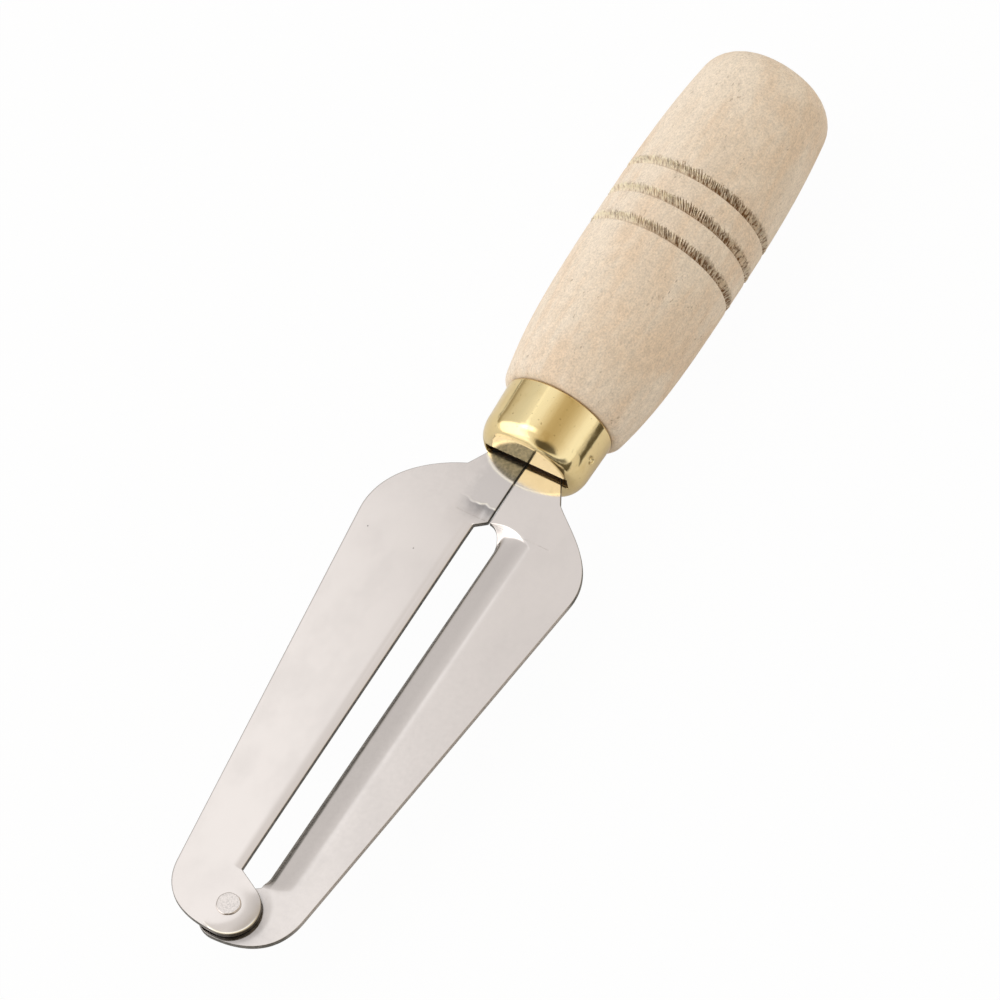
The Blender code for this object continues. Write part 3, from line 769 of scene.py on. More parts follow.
def cut_grooves(radius, along, angle):
    """Sink each groove into the side: its depth, less under a tooth, plus the lifted tips of the teeth.
    The marks are painted shade in the cut and in the fringe's gaps, most on the side away from the
    light, and light on the tips as a painted highlight, most on the lit side."""
    depth, lift, dark, light, torn = np.zeros((5, len(along), len(angle)))
    painted_shade = groove_shade_round(angle)
    for groove, middle in enumerate(GROOVES):
        back, length, raised = torn_teeth(groove, along - middle, angle)
        where = ((along - middle) / GROOVE_HALF)[:, None]
        inside, hanging, zone = groove_section(where, back, length)
        burr = back * np.exp(-((where + 1.0 - 0.3 * length) / 0.42) ** 2)
        # The side's painted shade also deepens the grooves; it darkens the cut and the gaps, and the pale
        # tips are a painted highlight, strongest on the lit side.
        depth += GROOVE_DEPTH * inside * (1 - 0.45 * hanging) * (0.5 + 0.5 * painted_shade)
        lift += BURR_LIFT * burr * raised ** 2
        dark += inside * painted_shade * np.where(where > 0, 0.75, 0.55) * (1 - 0.5 * hanging)
        torn += zone * (0.40 + 0.60 * painted_shade)
        light += (burr * (0.3 + 0.6 * raised) + 0.6 * zone) * (1.25 - painted_shade)
    marks = {"groove": np.clip(dark, 0.0, 1.0), "fibre": np.clip(light, 0.0, 0.9),
             "torn": np.clip(torn, 0.0, 1.0)}
    return radius[:, None] - depth + lift, marks


# %% [markdown]
# ## A rectangular hole on a round grid
# The kerf in the tenon and the mouth of the ferrule are both long rectangles in a round part.  The
# columns of the grid are rays from the axis.  Along each ray the distance to the rectangle's edge is
# the nearer of its two sides, and the grid simply starts there.

# %% Tenon, kerf and the whole handle
TENON_RADIUS = FERRULE_RADIUS - 1.0 * MM
TENON_ROUNDING = 3.5 * MM
TENON_SIDE_END = HANDLE_LENGTH + SEAT_Y + SEAT_GAP - FACE_Y - 4.5 * MM
TENON_END_REACH = -1.9 * MM
TENON_FRONT = 2.6 * MM
KERF_HALF = (8.3 * MM, 0.9 * MM)
KERF_REACH = -50.3 * MM
SMALLEST = 1e-6


def to_rectangle(angle, half_width, half_height):
    """Nearer of the two sides along each ray: half the width over cosine, half the height over sine."""
    return np.minimum(half_width / np.maximum(np.abs(np.cos(angle)), SMALLEST),
                      half_height / np.maximum(np.abs(np.sin(angle)), SMALLEST))


def tenon_rows(angle):
    """(radius, distance from the butt) rows round the tenon, its rounded front and down the kerf."""
    face = BUTT_Y - FACE_Y
    turn = np.linspace(0.0, math.pi / 2, 7)[1:]
    round_radius = TENON_RADIUS - TENON_ROUNDING * (1 - np.cos(turn))
    radius = np.concatenate([[TENON_RADIUS, TENON_RADIUS], round_radius])[:, None] + 0 * angle
    along = np.concatenate([[HANDLE_LENGTH, TENON_SIDE_END], TENON_SIDE_END + TENON_FRONT * np.sin(turn)])
    kerf = to_rectangle(angle, *KERF_HALF)
    radius = np.concatenate([radius, [kerf, kerf, 0 * kerf]])
    along = np.concatenate([along, [face + TENON_END_REACH, face + KERF_REACH, face + KERF_REACH]])
    return radius, along


def make_handle():
    """Carry the path round the axis, and end it round the tenon and down the kerf to its bottom."""
    angle = np.linspace(0.0, 2 * math.pi, HANDLE_COLUMNS, endpoint=False)
    radius, along = handle_path()
    shape, marks = cut_grooves(radius, along, angle)
    inner_radius, inner_along = tenon_rows(angle)
    all_radius = np.concatenate([shape, inner_radius])
    all_along = np.concatenate([along, inner_along])[:, None]
    marks = {key: np.concatenate([value, 0 * inner_radius]) for key, value in marks.items()}
    points = around_axis(all_radius, BUTT_Y - all_along, angle)
    return grid_object("turned_handle", points, wood_finish(), attributes=marks)


handle = make_handle()
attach(handle, "root")
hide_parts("handle")

# %% [markdown]
# ## Brass
# The ferrule is drawn from brass sheet and polished.  Brass is a yellow metal whose colour is all in
# its reflection, so a metallic shader with a low roughness does the work, and the strips of the
# studio give it its light and dark bands.  Real polished sheet is never quite smooth, so a faint
# large noise bends the reflections and a fine one dulls them here and there.

# %% Brass finish
BRASS = (0.900, 0.735, 0.400, 1.0)
BRASS_WORN = (0.800, 0.620, 0.300, 1.0)
BRASS_DARK = (0.300, 0.200, 0.080, 1.0)


def brass_finish():
    """Metal with a faint tarnish, dark spots, a wavering roughness and drawing lines along its length."""
    made, n, shader = new_material("polished_brass")
    place = n.add("ShaderNodeTexCoord").outputs["Object"]
    tarnish = n.noise(place, (260.0, 180.0, 260.0), 4.0, 0.6)
    spots = n.noise(place, (1500.0, 1500.0, 1500.0), 1.0)
    colour = n.blend(n.range(tarnish, 0.50, 0.75, 0.0, 0.7), BRASS, BRASS_WORN)
    colour = n.blend(n.range(spots, 0.70, 0.78, 0.0, 0.6), colour, BRASS_DARK)
    # Painted shade in the struck dimple's ring groove.
    colour = n.blend(attribute(n, "painted_shade"), colour, BRASS_DARK)
    n.link(shader.inputs["Base Color"], colour)
    shader.inputs["Metallic"].default_value = 1.0
    wipe = n.noise(place, (900.0, 500.0, 900.0), 3.0, 0.6)
    n.link(shader.inputs["Roughness"], n.range(wipe, 0.3, 0.8, 0.08, 0.15))
    lines = n.noise(place, (2400.0, 120.0, 2400.0), 2.0, 0.6)
    add_bump(n, shader, n.math("ADD", n.times(lines, 0.5), n.times(tarnish, 2.5)), 0.02 * MM, 0.5)
    return made


# %% [markdown]
# ## The ferrule
# The ferrule is a cap that narrows a little towards its front.  Its front edge is rounded like a
# quarter of an ellipse, longer along the tool than across it, and a straight mouth is punched through
# the face.  The outer skin is a grid of rays that start at the mouth's edge, and the wall's thickness
# is set off inwards along the skin's own normal.  Rays are packed closer near the mouth's corners, so
# that its edges stay straight, and at the struck dimple on the side.

# %% Ferrule profile
FERRULE_WALL = 0.7 * MM
FACE_PROUD = 0.4 * MM
FRONT_ROUNDING = (3.0 * MM, 5.0 * MM)
FRONT_RADIUS = FERRULE_RADIUS - 0.25 * MM
FACE_POINTS = 40


def ferrule_profile():
    """(radius, distance behind the solid's face) from the axis to the seat: level over the face, round
    a quarter ellipse, and along a side that widens evenly."""
    flat = FRONT_RADIUS - FRONT_ROUNDING[0]
    turn = np.linspace(0.0, math.pi / 2, 90)
    side = np.linspace(0.0, 1.0, 60)[1:]
    start = FRONT_ROUNDING[1] - FACE_PROUD
    face = np.linspace(0.0, flat, FACE_POINTS)[:-1]
    radius = np.concatenate([face, flat + FRONT_ROUNDING[0] * np.sin(turn),
                             FRONT_RADIUS + (FERRULE_RADIUS - FRONT_RADIUS) * side])
    behind = np.concatenate([0 * face - FACE_PROUD, start - FRONT_ROUNDING[1] * np.cos(turn),
                             start + (SEAT_Y - FACE_Y - start) * side])
    return radius, behind


def lengths_along(profile):
    """Length along a profile up to each of its points."""
    return np.concatenate([[0.0], np.cumsum(np.hypot(*np.diff(profile, axis=1)))])


def skin_point(profile, length, sunk):
    """(radius, distance behind) at a length along the profile, set in along its normal."""
    radius, behind = profile
    along = lengths_along(profile)
    slope_r, slope_b = np.gradient(radius, along), np.gradient(behind, along)
    out_r, out_b = np.interp(length, along, radius), np.interp(length, along, behind)
    return out_r - sunk * np.interp(length, along, slope_b), out_b + sunk * np.interp(length, along, slope_r)


# %% Ferrule rays and the struck dimple
MOUTH_ENDS = (10.5 * MM, 10.0 * MM)
MOUTH_HALF_HEIGHT = 1.9 * MM
STAKE_ANGLE = math.radians(9.0)
STAKE_FROM_FACE = 6.2 * MM
STAKE_RING = 0.70 * MM
STAKE_PATCH = np.radians(np.linspace(1.0, 17.0, 70))


def ferrule_columns():
    """Angles of the rays: even ones, others that step evenly along the mouth's edges, and a fine patch
    at the dimple."""
    even = np.linspace(0.0, 2 * math.pi, 300, endpoint=False)
    corner = np.arctan2(MOUTH_HALF_HEIGHT, MOUTH_ENDS[0])
    along_edge = np.arctan2(MOUTH_HALF_HEIGHT, np.linspace(MOUTH_ENDS[0], 0.3 * MM, 52))
    quarter = np.concatenate([np.linspace(0.0, corner, 14), along_edge[1:]])
    packed = np.concatenate([quarter, math.pi - quarter, math.pi + quarter, 2 * math.pi - quarter])
    return np.unique(np.round(np.concatenate([even, packed % (2 * math.pi), STAKE_PATCH]), 5))


def struck_dimple(angle, behind):
    """Depth of a round punch mark, a ring-shaped groove about a shallow middle, not quite round; and
    the painted shade in that groove."""
    across, on = FERRULE_RADIUS * (angle - STAKE_ANGLE)[None, :], behind - STAKE_FROM_FACE
    around = np.arctan2(on, across)
    ring = STAKE_RING * (1 + 0.12 * np.sin(2 * around + 1.0) + 0.08 * np.sin(3 * around))
    off = np.hypot(across, on)
    groove = on_line(off - ring, 0.24)
    raised = on_line(off - ring - 0.45 * MM, 0.2)
    depth = (0.34 * groove + 0.12 * (off < ring) - 0.04 * raised) * MM
    return depth, 0.85 * groove * (0.6 + 0.4 * np.sin(2 * around))


# %% The whole ferrule
MOUTH_EDGE = 0.12 * MM
SOFT_EDGE = 0.3 * MOUTH_EDGE
SKIN_STEPS = np.unique(np.concatenate([np.linspace(0.0, 1.0, 76), np.linspace(0.40, 0.59, 46)]))
LINING_STEPS = np.linspace(1.0, 0.0, 12)


def make_ferrule():
    """Mouth's edge, skin and lining as one ring of rows, with the struck dimple sunk in the skin."""
    angle = ferrule_columns()
    profile = ferrule_profile()
    mouth = to_rectangle(angle, np.where(np.cos(angle) < 0, *MOUTH_ENDS), MOUTH_HALF_HEIGHT)
    lengths = lengths_along(profile)
    first, last = np.interp(mouth, profile[0], lengths), lengths[-1]
    outer = (first + MOUTH_EDGE) + (last - first - MOUTH_EDGE) * SKIN_STEPS[:, None]
    lining = first + (last - first) * LINING_STEPS[:, None]
    edge = [skin_point(profile, first, MOUTH_EDGE), skin_point(profile, first + SOFT_EDGE, SOFT_EDGE)]
    parts = [np.stack(edge, axis=1), np.array(skin_point(profile, outer, 0.0)),
             np.array(skin_point(profile, lining, FERRULE_WALL))]
    radius, behind = np.concatenate(parts, axis=1)
    on_skin = np.repeat((0.0, 1.0, 0.0), [part.shape[1] for part in parts])[:, None]
    # The dimple's ring groove is painted darker: painted shade.
    struck, painted_shade = struck_dimple(angle, behind)
    points = around_axis(radius - struck * on_skin, FACE_Y + behind, angle)
    return grid_object("brass_ferrule", points, brass_finish(), close_rows=True,
                       attributes={"painted_shade": painted_shade * on_skin})


ferrule = make_ferrule()
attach(ferrule, "root")
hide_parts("ferrule")

# %% [markdown]
# ## Satin steel
# The leaves are polished sheet with a soft satin gloss: pale, faintly warm, with hairline scratches
# and a few pits.  What differs from place to place is carried by the mesh as attributes: `worn` for
# the duller neck, one for dark patches, which are painted shade and shadow round the tip's lobe and a
# darker patch behind the bend line, one for dark edges, which are the sheared walls, partly painted
# shade, and painted shade on the guard's curl, one for a painted reflection of the ferrule, a dull
# half oval beside it, and `rim` for bright thin lines, which are painted highlights.

# %% Steel finish
STEEL = (0.664, 0.608, 0.574, 1.0)
STEEL_DULL = (0.560, 0.515, 0.490, 1.0)
# Dark for pits and sheared walls, and for painted shade on the guard's curl; then a painted reflection of
# the ferrule's face, a painted highlight, and dark patches of painted shade and shadow.
STEEL_DARK = (0.110, 0.108, 0.100, 1.0)
STEEL_REFLECTED_FACE = (0.145, 0.142, 0.135, 1.0)
STEEL_PAINTED_HIGHLIGHT = (0.950, 0.890, 0.740, 1.0)
STEEL_DARK_PATCH = (0.230, 0.215, 0.210, 1.0)
PIT_SPACING = 5.5 * MM
PIT_SHARE = 0.7
PIT_DEPTH = 6.0


def pitting(n, place):
    """Pits of about 0.3 mm, one in the middle of a few cells of a Voronoi pattern."""
    cells = n.add("ShaderNodeTexVoronoi")
    n.link(cells.inputs["Vector"], place)
    cells.inputs["Scale"].default_value = 1 / PIT_SPACING
    chosen = n.add("ShaderNodeSeparateColor")
    n.link(chosen.inputs[0], cells.outputs["Color"])
    return n.times(n.range(cells.outputs["Distance"], 0.022, 0.034, 1.0, 0.0),
                   n.math("GREATER_THAN", chosen.outputs[0], 0.80))


def steel_finish():
    """Metal with cloudy tone, hairlines, pits, sheared edges and the worn neck, with painted shade and a
    painted shadow, a painted reflection of the ferrule and painted highlights.
    """
    made, n, shader = new_material("satin_steel")
    place = n.add("ShaderNodeTexCoord").outputs["Object"]
    clouds = n.noise(place, (90.0, 60.0, 90.0), 4.0, 0.6)
    mottle = n.noise(place, (800.0, 800.0, 800.0), 4.0, 0.65)
    stain = n.noise(place, (1500.0, 1500.0, 1500.0), 3.0, 0.7)
    dull = n.times(n.range(clouds, 0.42, 0.72), 0.25)
    worn = n.times(attribute(n, "worn"), n.range(mottle, 0.30, 0.70, 0.55, 1.35, False))
    colour = n.blend(n.math("ADD", dull, worn, clamp=True), STEEL, STEEL_DULL)
    # Dark patches: painted shade on the cutting leaf's lobe, a painted shadow of that lobe on the guard
    # leaf, and a darker patch behind the bend line.
    dark_patch_share = n.times(attribute(n, "dark_patch"), n.range(mottle, 0.30, 0.70, 0.75, 1.0, False))
    colour = n.blend(dark_patch_share, colour, STEEL_DARK_PATCH)
    pit = pitting(n, place)
    colour = n.blend(n.times(pit, PIT_SHARE), colour, STEEL_DARK)
    # Dark edges: the sheared walls, partly their own rough colour and partly painted shade, and painted
    # shade on the guard's curl.
    edge = n.times(attribute(n, "dark_edge"), n.range(mottle, 0.35, 0.65, 0.8, 1.0))
    colour = n.blend(edge, colour, STEEL_DARK)
    # Painted reflection of the ferrule's face: a dull dark half oval beside it.
    ferrule_reflection = attribute(n, "ferrule_reflection")
    colour = n.blend(n.times(ferrule_reflection, n.range(stain, 0.38, 0.66, 1.0, 0.78)), colour, STEEL_REFLECTED_FACE)
    # Painted highlights: the bright lines of the rim attribute.
    n.link(shader.inputs["Base Color"], n.blend(attribute(n, "rim"), colour, STEEL_PAINTED_HIGHLIGHT))
    shader.inputs["Metallic"].default_value = 1.0
    rough = n.math("ADD", n.range(clouds, 0.3, 0.7, 0.09, 0.13), n.times(edge, 0.25))
    n.link(shader.inputs["Roughness"], n.math("ADD", rough, n.times(ferrule_reflection, 0.15)))
    hairs = n.noise(place, (3200.0, 90.0, 600.0), 2.0, 0.6)
    height = n.math("ADD", hairs, n.times(mottle, n.math("ADD", 0.4, n.times(worn, 4.0))))
    add_bump(n, shader, n.math("SUBTRACT", height, n.times(pit, PIT_DEPTH)), 0.004 * MM, 0.25)
    return made


# %% [markdown]
# ## The outline of a leaf
# Each leaf has an inner edge, along the slit and the slot, and an outer edge.  Both run from the tang
# to the middle of the rounded tip, and at every reach each has exactly one place, so an edge is a
# function from reach to X.  The outer edge flares from the neck to the shoulder on a Bezier curve and
# closes the tip on another.

# %% Leaf sizes and outer edge
SHEET = 1.2 * MM
SLIT_HALF = 0.2 * MM
TANG_END = -50.0 * MM
TANG = np.array(((5.5, TANG_END / MM), (8.0, -13.6), (8.0, -0.7))) * MM
NECK = np.array((11.5, 5.5)) * MM
SHOULDER_REACH = 25.7 * MM
SHOULDER_PULL = 0.52
TIP_EDGE = BLADE_REACH - 12.2 * MM
TIP_PULL = (0.65, 0.58)
CUT = dict(side=-1.0, shoulder=26.4 * MM, tip=16.9 * MM, pull=(0.50, 0.16), lobe=6.7 * MM, offset=-1.1 * MM,
           end=BLADE_REACH - 0.7 * MM)
GUARD = dict(side=1.0, shoulder=25.7 * MM, tip=14.3 * MM, pull=(0.34, 0.22), lobe=5.8 * MM, offset=-1.5 * MM,
             end=BLADE_REACH)


def bezier(start, first, second, end, count=160):
    """Cubic Bezier curve through two end points, drawn towards two others."""
    t = np.linspace(0.0, 1.0, count)[:, None]
    return ((1 - t) ** 3 * np.array(start) + 3 * t * (1 - t) ** 2 * np.array(first)
            + 3 * t ** 2 * (1 - t) * np.array(second) + t ** 3 * np.array(end))


def outer_edge(leaf):
    """Tang, neck, Bezier flare to the shoulder, straight edge, Bezier round the tip."""
    shoulder = np.array((leaf["shoulder"], SHOULDER_REACH))
    tip_edge = np.array((leaf["tip"], TIP_EDGE))
    down = (tip_edge - shoulder) / np.linalg.norm(tip_edge - shoulder)
    span = shoulder - NECK
    pulled = shoulder - down * SHOULDER_PULL * span[1]
    flare = bezier(NECK, NECK + span * np.array(leaf["pull"]), pulled, shoulder)
    left = BLADE_REACH - TIP_EDGE
    tip = np.array((leaf["offset"] * leaf["side"], leaf["end"]))
    level = (TIP_PULL[1] * leaf["tip"], leaf["end"])
    end = bezier(tip_edge, tip_edge + down * TIP_PULL[0] * left, level, tip)
    points = np.concatenate([TANG, flare, end])
    return points[:, 1], points[:, 0] * leaf["side"]


# %% [markdown]
# ## Inner edges
# The inner edge starts as the straight slit.  The cutting leaf's opens in one notch to the cutting
# edge, and the guard's in a quarter ellipse to the guard's edge.  Both end on a round lobe about the
# rivet, which a straight line meets where it just touches the lobe's circle.

# %% Inner edges
NOTCH_REACH = 16.1 * MM
RIVET = (-1.5 * MM, BLADE_REACH - 7.7 * MM)
CUT_CORNERS = np.array(((-0.2, 16.1), (-2.7, 18.0), (-3.4, BLADE_REACH / MM - 16.3))) * MM
GUARD_EDGE = np.array(((3.9, 21.5), (2.1, BLADE_REACH / MM - 14.9))) * MM


def lobe_arc(leaf, corner, bulge):
    """Straight from the slot's corner to where the line touches the lobe's circle, then round it."""
    middle = np.array((leaf["offset"], leaf["end"] - leaf["lobe"]))
    away = corner - middle
    touch = math.atan2(away[1], away[0]) + bulge * math.acos(leaf["lobe"] / np.linalg.norm(away))
    end = math.pi / 2 if bulge > 0 else math.pi / 2 - 2 * math.pi
    turn = np.linspace(touch, end, 120)
    return middle + leaf["lobe"] * np.stack([np.cos(turn), np.sin(turn)], axis=-1)


def cut_inner_edge():
    """Slit, notch, cutting edge, corner and lobe of the cutting leaf."""
    points = np.concatenate([[(-SLIT_HALF, TANG_END)], CUT_CORNERS, lobe_arc(CUT, CUT_CORNERS[-1], 1.0)])
    return points[:, 1], points[:, 0]


def guard_inner_edge():
    """Slit, quarter ellipse out to the guard's edge, that edge, and the lobe under the other leaf."""
    turn = np.linspace(0.0, math.pi / 2, 60)
    span = GUARD_EDGE[0] - (SLIT_HALF, NOTCH_REACH)
    rounding = (SLIT_HALF, NOTCH_REACH) + span * np.stack([np.sin(turn), 1 - np.cos(turn)], axis=-1)
    lobe = lobe_arc(GUARD, GUARD_EDGE[1], -1.0)
    points = np.concatenate([[(SLIT_HALF, TANG_END)], rounding, GUARD_EDGE[1:], lobe])
    return points[:, 1], points[:, 0]


# %% [markdown]
# ## From outline to sheet
# A leaf is a loop carried along the blade.  At each reach the loop runs over the top from the inner
# edge to the outer one, round a small rounded arris, down the sheared wall, and back underneath.  The
# arris is set in from the outline along the outline's own normal, so that it keeps its width where
# the edge runs across the blade.  Rows lie close together at the notch and the tip.

# %% Rows and columns of a leaf
ARRIS = 0.13 * MM
ROW_SPANS = (  # from reach, to reach, rows
    (TANG_END / MM, -14.0, 5), (-14.0, 0.0, 14), (0.0, 11.8, 50), (11.8, 13.6, 36), (13.6, 15.4, 14),
    (15.4, 18.4, 70), (18.4, 27.0, 60), (27.0, 111.6, 120),
)
TIP_ROWS = (111.6 * MM, 130)
CLOSING = 6.0 * MM
TOP_COLUMNS = 64
EVEN_SHARE = 0.45
UNDER_STEP = 3
SHEARED_ON_WALL = np.array((0.0, 0.8, 1.0, 1.0, 1.0, 1.0, 0.8, 0.0))


def leaf_rows(tip):
    """Reaches of the rows, close together where the outline turns; the last ones follow a sine, so
    they crowd where the tip closes."""
    spans = [np.linspace(start * MM, end * MM, rows)[:-1] for start, end, rows in ROW_SPANS]
    turn = np.linspace(0.0, math.pi / 2, 70)[1:]
    last = np.linspace(TIP_ROWS[0], tip - CLOSING, TIP_ROWS[1])[:-1]
    return np.concatenate(spans + [last, tip - CLOSING + CLOSING * np.sin(turn)])


def outward(x, reach, side):
    """Unit normals of an edge that runs along increasing reach, pointing to its given side."""
    dx, dr = np.gradient(x), np.gradient(reach)
    length = np.hypot(dx, dr)
    return side * dr / length, -side * dx / length


def edge_loop(x, reach, normal, set_in):
    """(x, reach) of rows set in from an edge along its normal, one column for each distance."""
    return np.stack([x[:, None] - normal[0][:, None] * set_in, reach[:, None] - normal[1][:, None] * set_in])


def leaf_loop(leaf, inner):
    """(x, reach, depth below the top, sheared) of the whole loop at every row."""
    reach = leaf_rows(leaf["end"])
    in_x, out_x = np.interp(reach, *inner), np.interp(reach, *outer_edge(leaf))
    in_x[-1] = out_x[-1] = leaf["offset"]
    in_normal = outward(in_x, reach, -leaf["side"])
    out_normal = outward(out_x, reach, leaf["side"])
    for normal in (in_normal, out_normal):
        normal[0][-1], normal[1][-1] = 0.0, 1.0
    turn = np.radians((0.0, 30.0, 60.0, 90.0))
    set_in = ARRIS * np.concatenate([1 - np.sin(turn), 1 - np.cos(turn)])
    drop = np.concatenate([ARRIS * (1 - np.cos(turn)), SHEET - ARRIS * (1 - np.sin(turn))])
    even = np.linspace(0.0, 1.0, TOP_COLUMNS)
    across = (1 - EVEN_SHARE) * (0.5 - 0.5 * np.cos(math.pi * even)) + EVEN_SHARE * even
    first = edge_loop(in_x, reach, in_normal, np.array([ARRIS]))
    last = edge_loop(out_x, reach, out_normal, np.array([ARRIS]))
    top = first + (last - first) * across
    under = top[:, :, ::-UNDER_STEP]
    out_rim = edge_loop(out_x, reach, out_normal, set_in)
    in_rim = edge_loop(in_x, reach, in_normal, set_in[::-1])
    x, along = np.concatenate([top, out_rim, under, in_rim], axis=2)
    level = np.zeros(under.shape[2])
    down = np.concatenate([0 * across, drop, level + SHEET, drop[::-1]]) + 0 * x
    dark_edge = np.concatenate([0 * across, SHEARED_ON_WALL, level, SHEARED_ON_WALL[::-1]]) + 0 * x
    return x, along, down, dark_edge


# %% [markdown]
# ## Marks beside the ferrule
# The ferrule shows mirrored in both leaves, and that reflection is painted: half an oval of dull,
# dark steel beside the ferrule, faint on the guard leaf, with a thin bright rim that is a painted
# highlight.  The rim runs over both leaves, so it is worked out here, where the loop becomes a mesh.

# %% Sheet from a loop
REFLECTION_OVAL = (1.3 * MM, 10.9 * MM, 5.8 * MM)  # middle, half width, depth
RIM_SHARE = 0.7


def inside_oval(x, reach):
    """Distance inside the edge of the half oval beside the ferrule, at its deepest."""
    middle, half_width, depth = REFLECTION_OVAL
    return depth * (1 - np.hypot((x - middle) / half_width, reach / depth))


def oval_rim(x, reach):
    """A painted highlight: a bright line just inside the half oval."""
    return RIM_SHARE * on_line(inside_oval(x, reach) - 0.22 * MM, 0.18) * (reach > 0)


def leaf_object(name, leaf, inner, shape, material):
    """The loop at the heights that `shape` gives, with an end cap on the tang.  `shape` also gives the
    marks for the material from the place in the sheet."""
    x, reach, down, dark_edge = leaf_loop(leaf, inner)
    height, marks = shape(x, reach, down)
    points = np.stack([x, blade_y(reach), height], axis=-1)
    cap = points[:1].mean(axis=1, keepdims=True) + 0 * points[:1]
    # Dark edges: sheared walls, partly painted shade, and the curl's painted shade.
    marks["dark_edge"] = np.maximum(dark_edge * marks.pop("edge_share"), marks.pop("curl_shade"))
    marks["rim"] = np.maximum(oval_rim(x, reach), marks.pop("bright"))
    marks = {key: np.concatenate([value[:1], value]) for key, value in marks.items()}
    return grid_object(name, np.concatenate([cap, points]), material, attributes=marks)


# %% [markdown]
# ## Forms that both leaves share
# The leaves climb a little from the ferrule to the rivet, one up and one down, so that their lobes lie
# on each other.  Hand-made sheet wavers slowly, and beside the ferrule both leaves dip.

# %% Shared forms
LEAF_RISE = (SHEET + SEAT_GAP) / 2
WAVER = 0.018 * MM
DIP_LENGTH = 9.0 * MM
DIP_DEPTH = 0.28 * MM


def rise(reach):
    """Straight climb from the ferrule's face to the rivet."""
    return LEAF_RISE * np.maximum(reach, 0.0) / RIVET[1]


def waver(x, reach):
    """The slow unevenness of hand-made sheet: two long waves of a few hundredths of a millimetre."""
    return WAVER * np.sin(reach / (19 * MM) + 0.6) * np.cos(x / (15 * MM)) * fade(reach, 0.0, 8.0)


def dip(reach):
    """How far a leaf sinks towards the ferrule: the square of the way from where the dip starts.  The
    tang inside is level again."""
    sinking = np.clip(1 - np.maximum(reach, 0.0) / DIP_LENGTH, 0.0, 1.0) ** 2
    return DIP_DEPTH * sinking * fade(reach, -6.0, 6.0)


def from_rivet(x, reach):
    """Distance from the rivet's middle."""
    return np.hypot(x - RIVET[0], reach - RIVET[1])


def lobe_distance(x, reach):
    """Distance beyond the edge of the cutting leaf's lobe, negative within it."""
    return np.hypot(x - CUT["offset"], reach - (CUT["end"] - CUT["lobe"])) - CUT["lobe"]


# %% [markdown]
# ## The cutting leaf
# The cutting leaf's top rolls gently down to a sharp edge along the slot, with a fine honing line.  A
# bend line runs across it above the notch, where the corner was pressed down; the sheet is painted
# darker behind it, and its ridge carries a painted highlight.  The lobe was drawn down a little round
# the rivet, and the shears left a burr on it; the lobe's right part is painted with shade, and the
# burr with a painted highlight.

# %% Forms of the cutting leaf
BEND_LINE = np.array(((-12.0, -8.0, -5.3, -2.7, -0.6, 0.0), (12.2, 12.3, 13.1, 12.5, 12.8, 12.9))) * MM
BEND_RIDGE = 0.045 * MM
PRESSED_DEPTH = 0.20 * MM
ROLL_WIDTH = 2.6 * MM
ROLL_DROP = 0.15 * MM
HONING_LINE = 1.5 * MM
HONING_DEPTH = 0.022 * MM
DISH_START = 2.8 * MM
DISH_WIDTH = 4.2 * MM
DISH_CURVE = 0.024 / MM
BURR_HEIGHT = 0.06 * MM


def bend_reach(x):
    """Reach of the bend line, with a fine ripple."""
    return np.interp(x, *BEND_LINE) + 0.12 * MM * np.sin(x / (0.35 * MM))


def bend_ridge(x, reach):
    """1 on the thin ridge along the bend line, uneven, and fading to the left."""
    uneven = 0.7 + 0.3 * np.sin(x / (0.6 * MM) + 1.0)
    return on_line(reach - bend_reach(x), 0.20) * fade(x, -8.5, 5.0) * uneven


def rolled_edge(x, reach):
    """Drop towards the cutting edge: the square of the way from where the roll starts, and the honing
    line.  Both end softly with the straight edge."""
    start, end = CUT_CORNERS[1], CUT_CORNERS[2]
    line = (end - start) / np.linalg.norm(end - start)
    into = np.maximum((reach - start[1]) * line[0] - (x - start[0]) * line[1], 0.0)
    beside = fade(reach - start[1], -0.4, 0.8) * fade(end[1] - reach, -0.3, 0.8)
    honed = on_line(into - HONING_LINE, 0.22) * (1 - fade(reach, 45.0, 30.0))
    return (ROLL_DROP * np.clip(1 - into / ROLL_WIDTH, 0.0, 1.0) ** 2 + HONING_DEPTH * honed) * beside


def dished_lobe(x, reach):
    """How far the sheet is drawn down round the rivet, by the square of the distance beyond its head."""
    outside = fade(reach - RIVET[1], -7.0, 5.0) * fade(x - RIVET[0], -3.0, 6.0)
    return DISH_CURVE * np.clip(from_rivet(x, reach) - DISH_START, 0.0, DISH_WIDTH) ** 2 * outside


def lobe_burr(x, reach):
    """A fine burr along the lobe's edge, where the shears left the sheet: 1 on it and 0 elsewhere."""
    right = fade(x, -5.0, 4.0) * fade(reach - RIVET[1], -1.0, 3.0)
    return on_line(lobe_distance(x, reach) + 0.28 * MM, 0.17) * right


# %% Cutting leaf


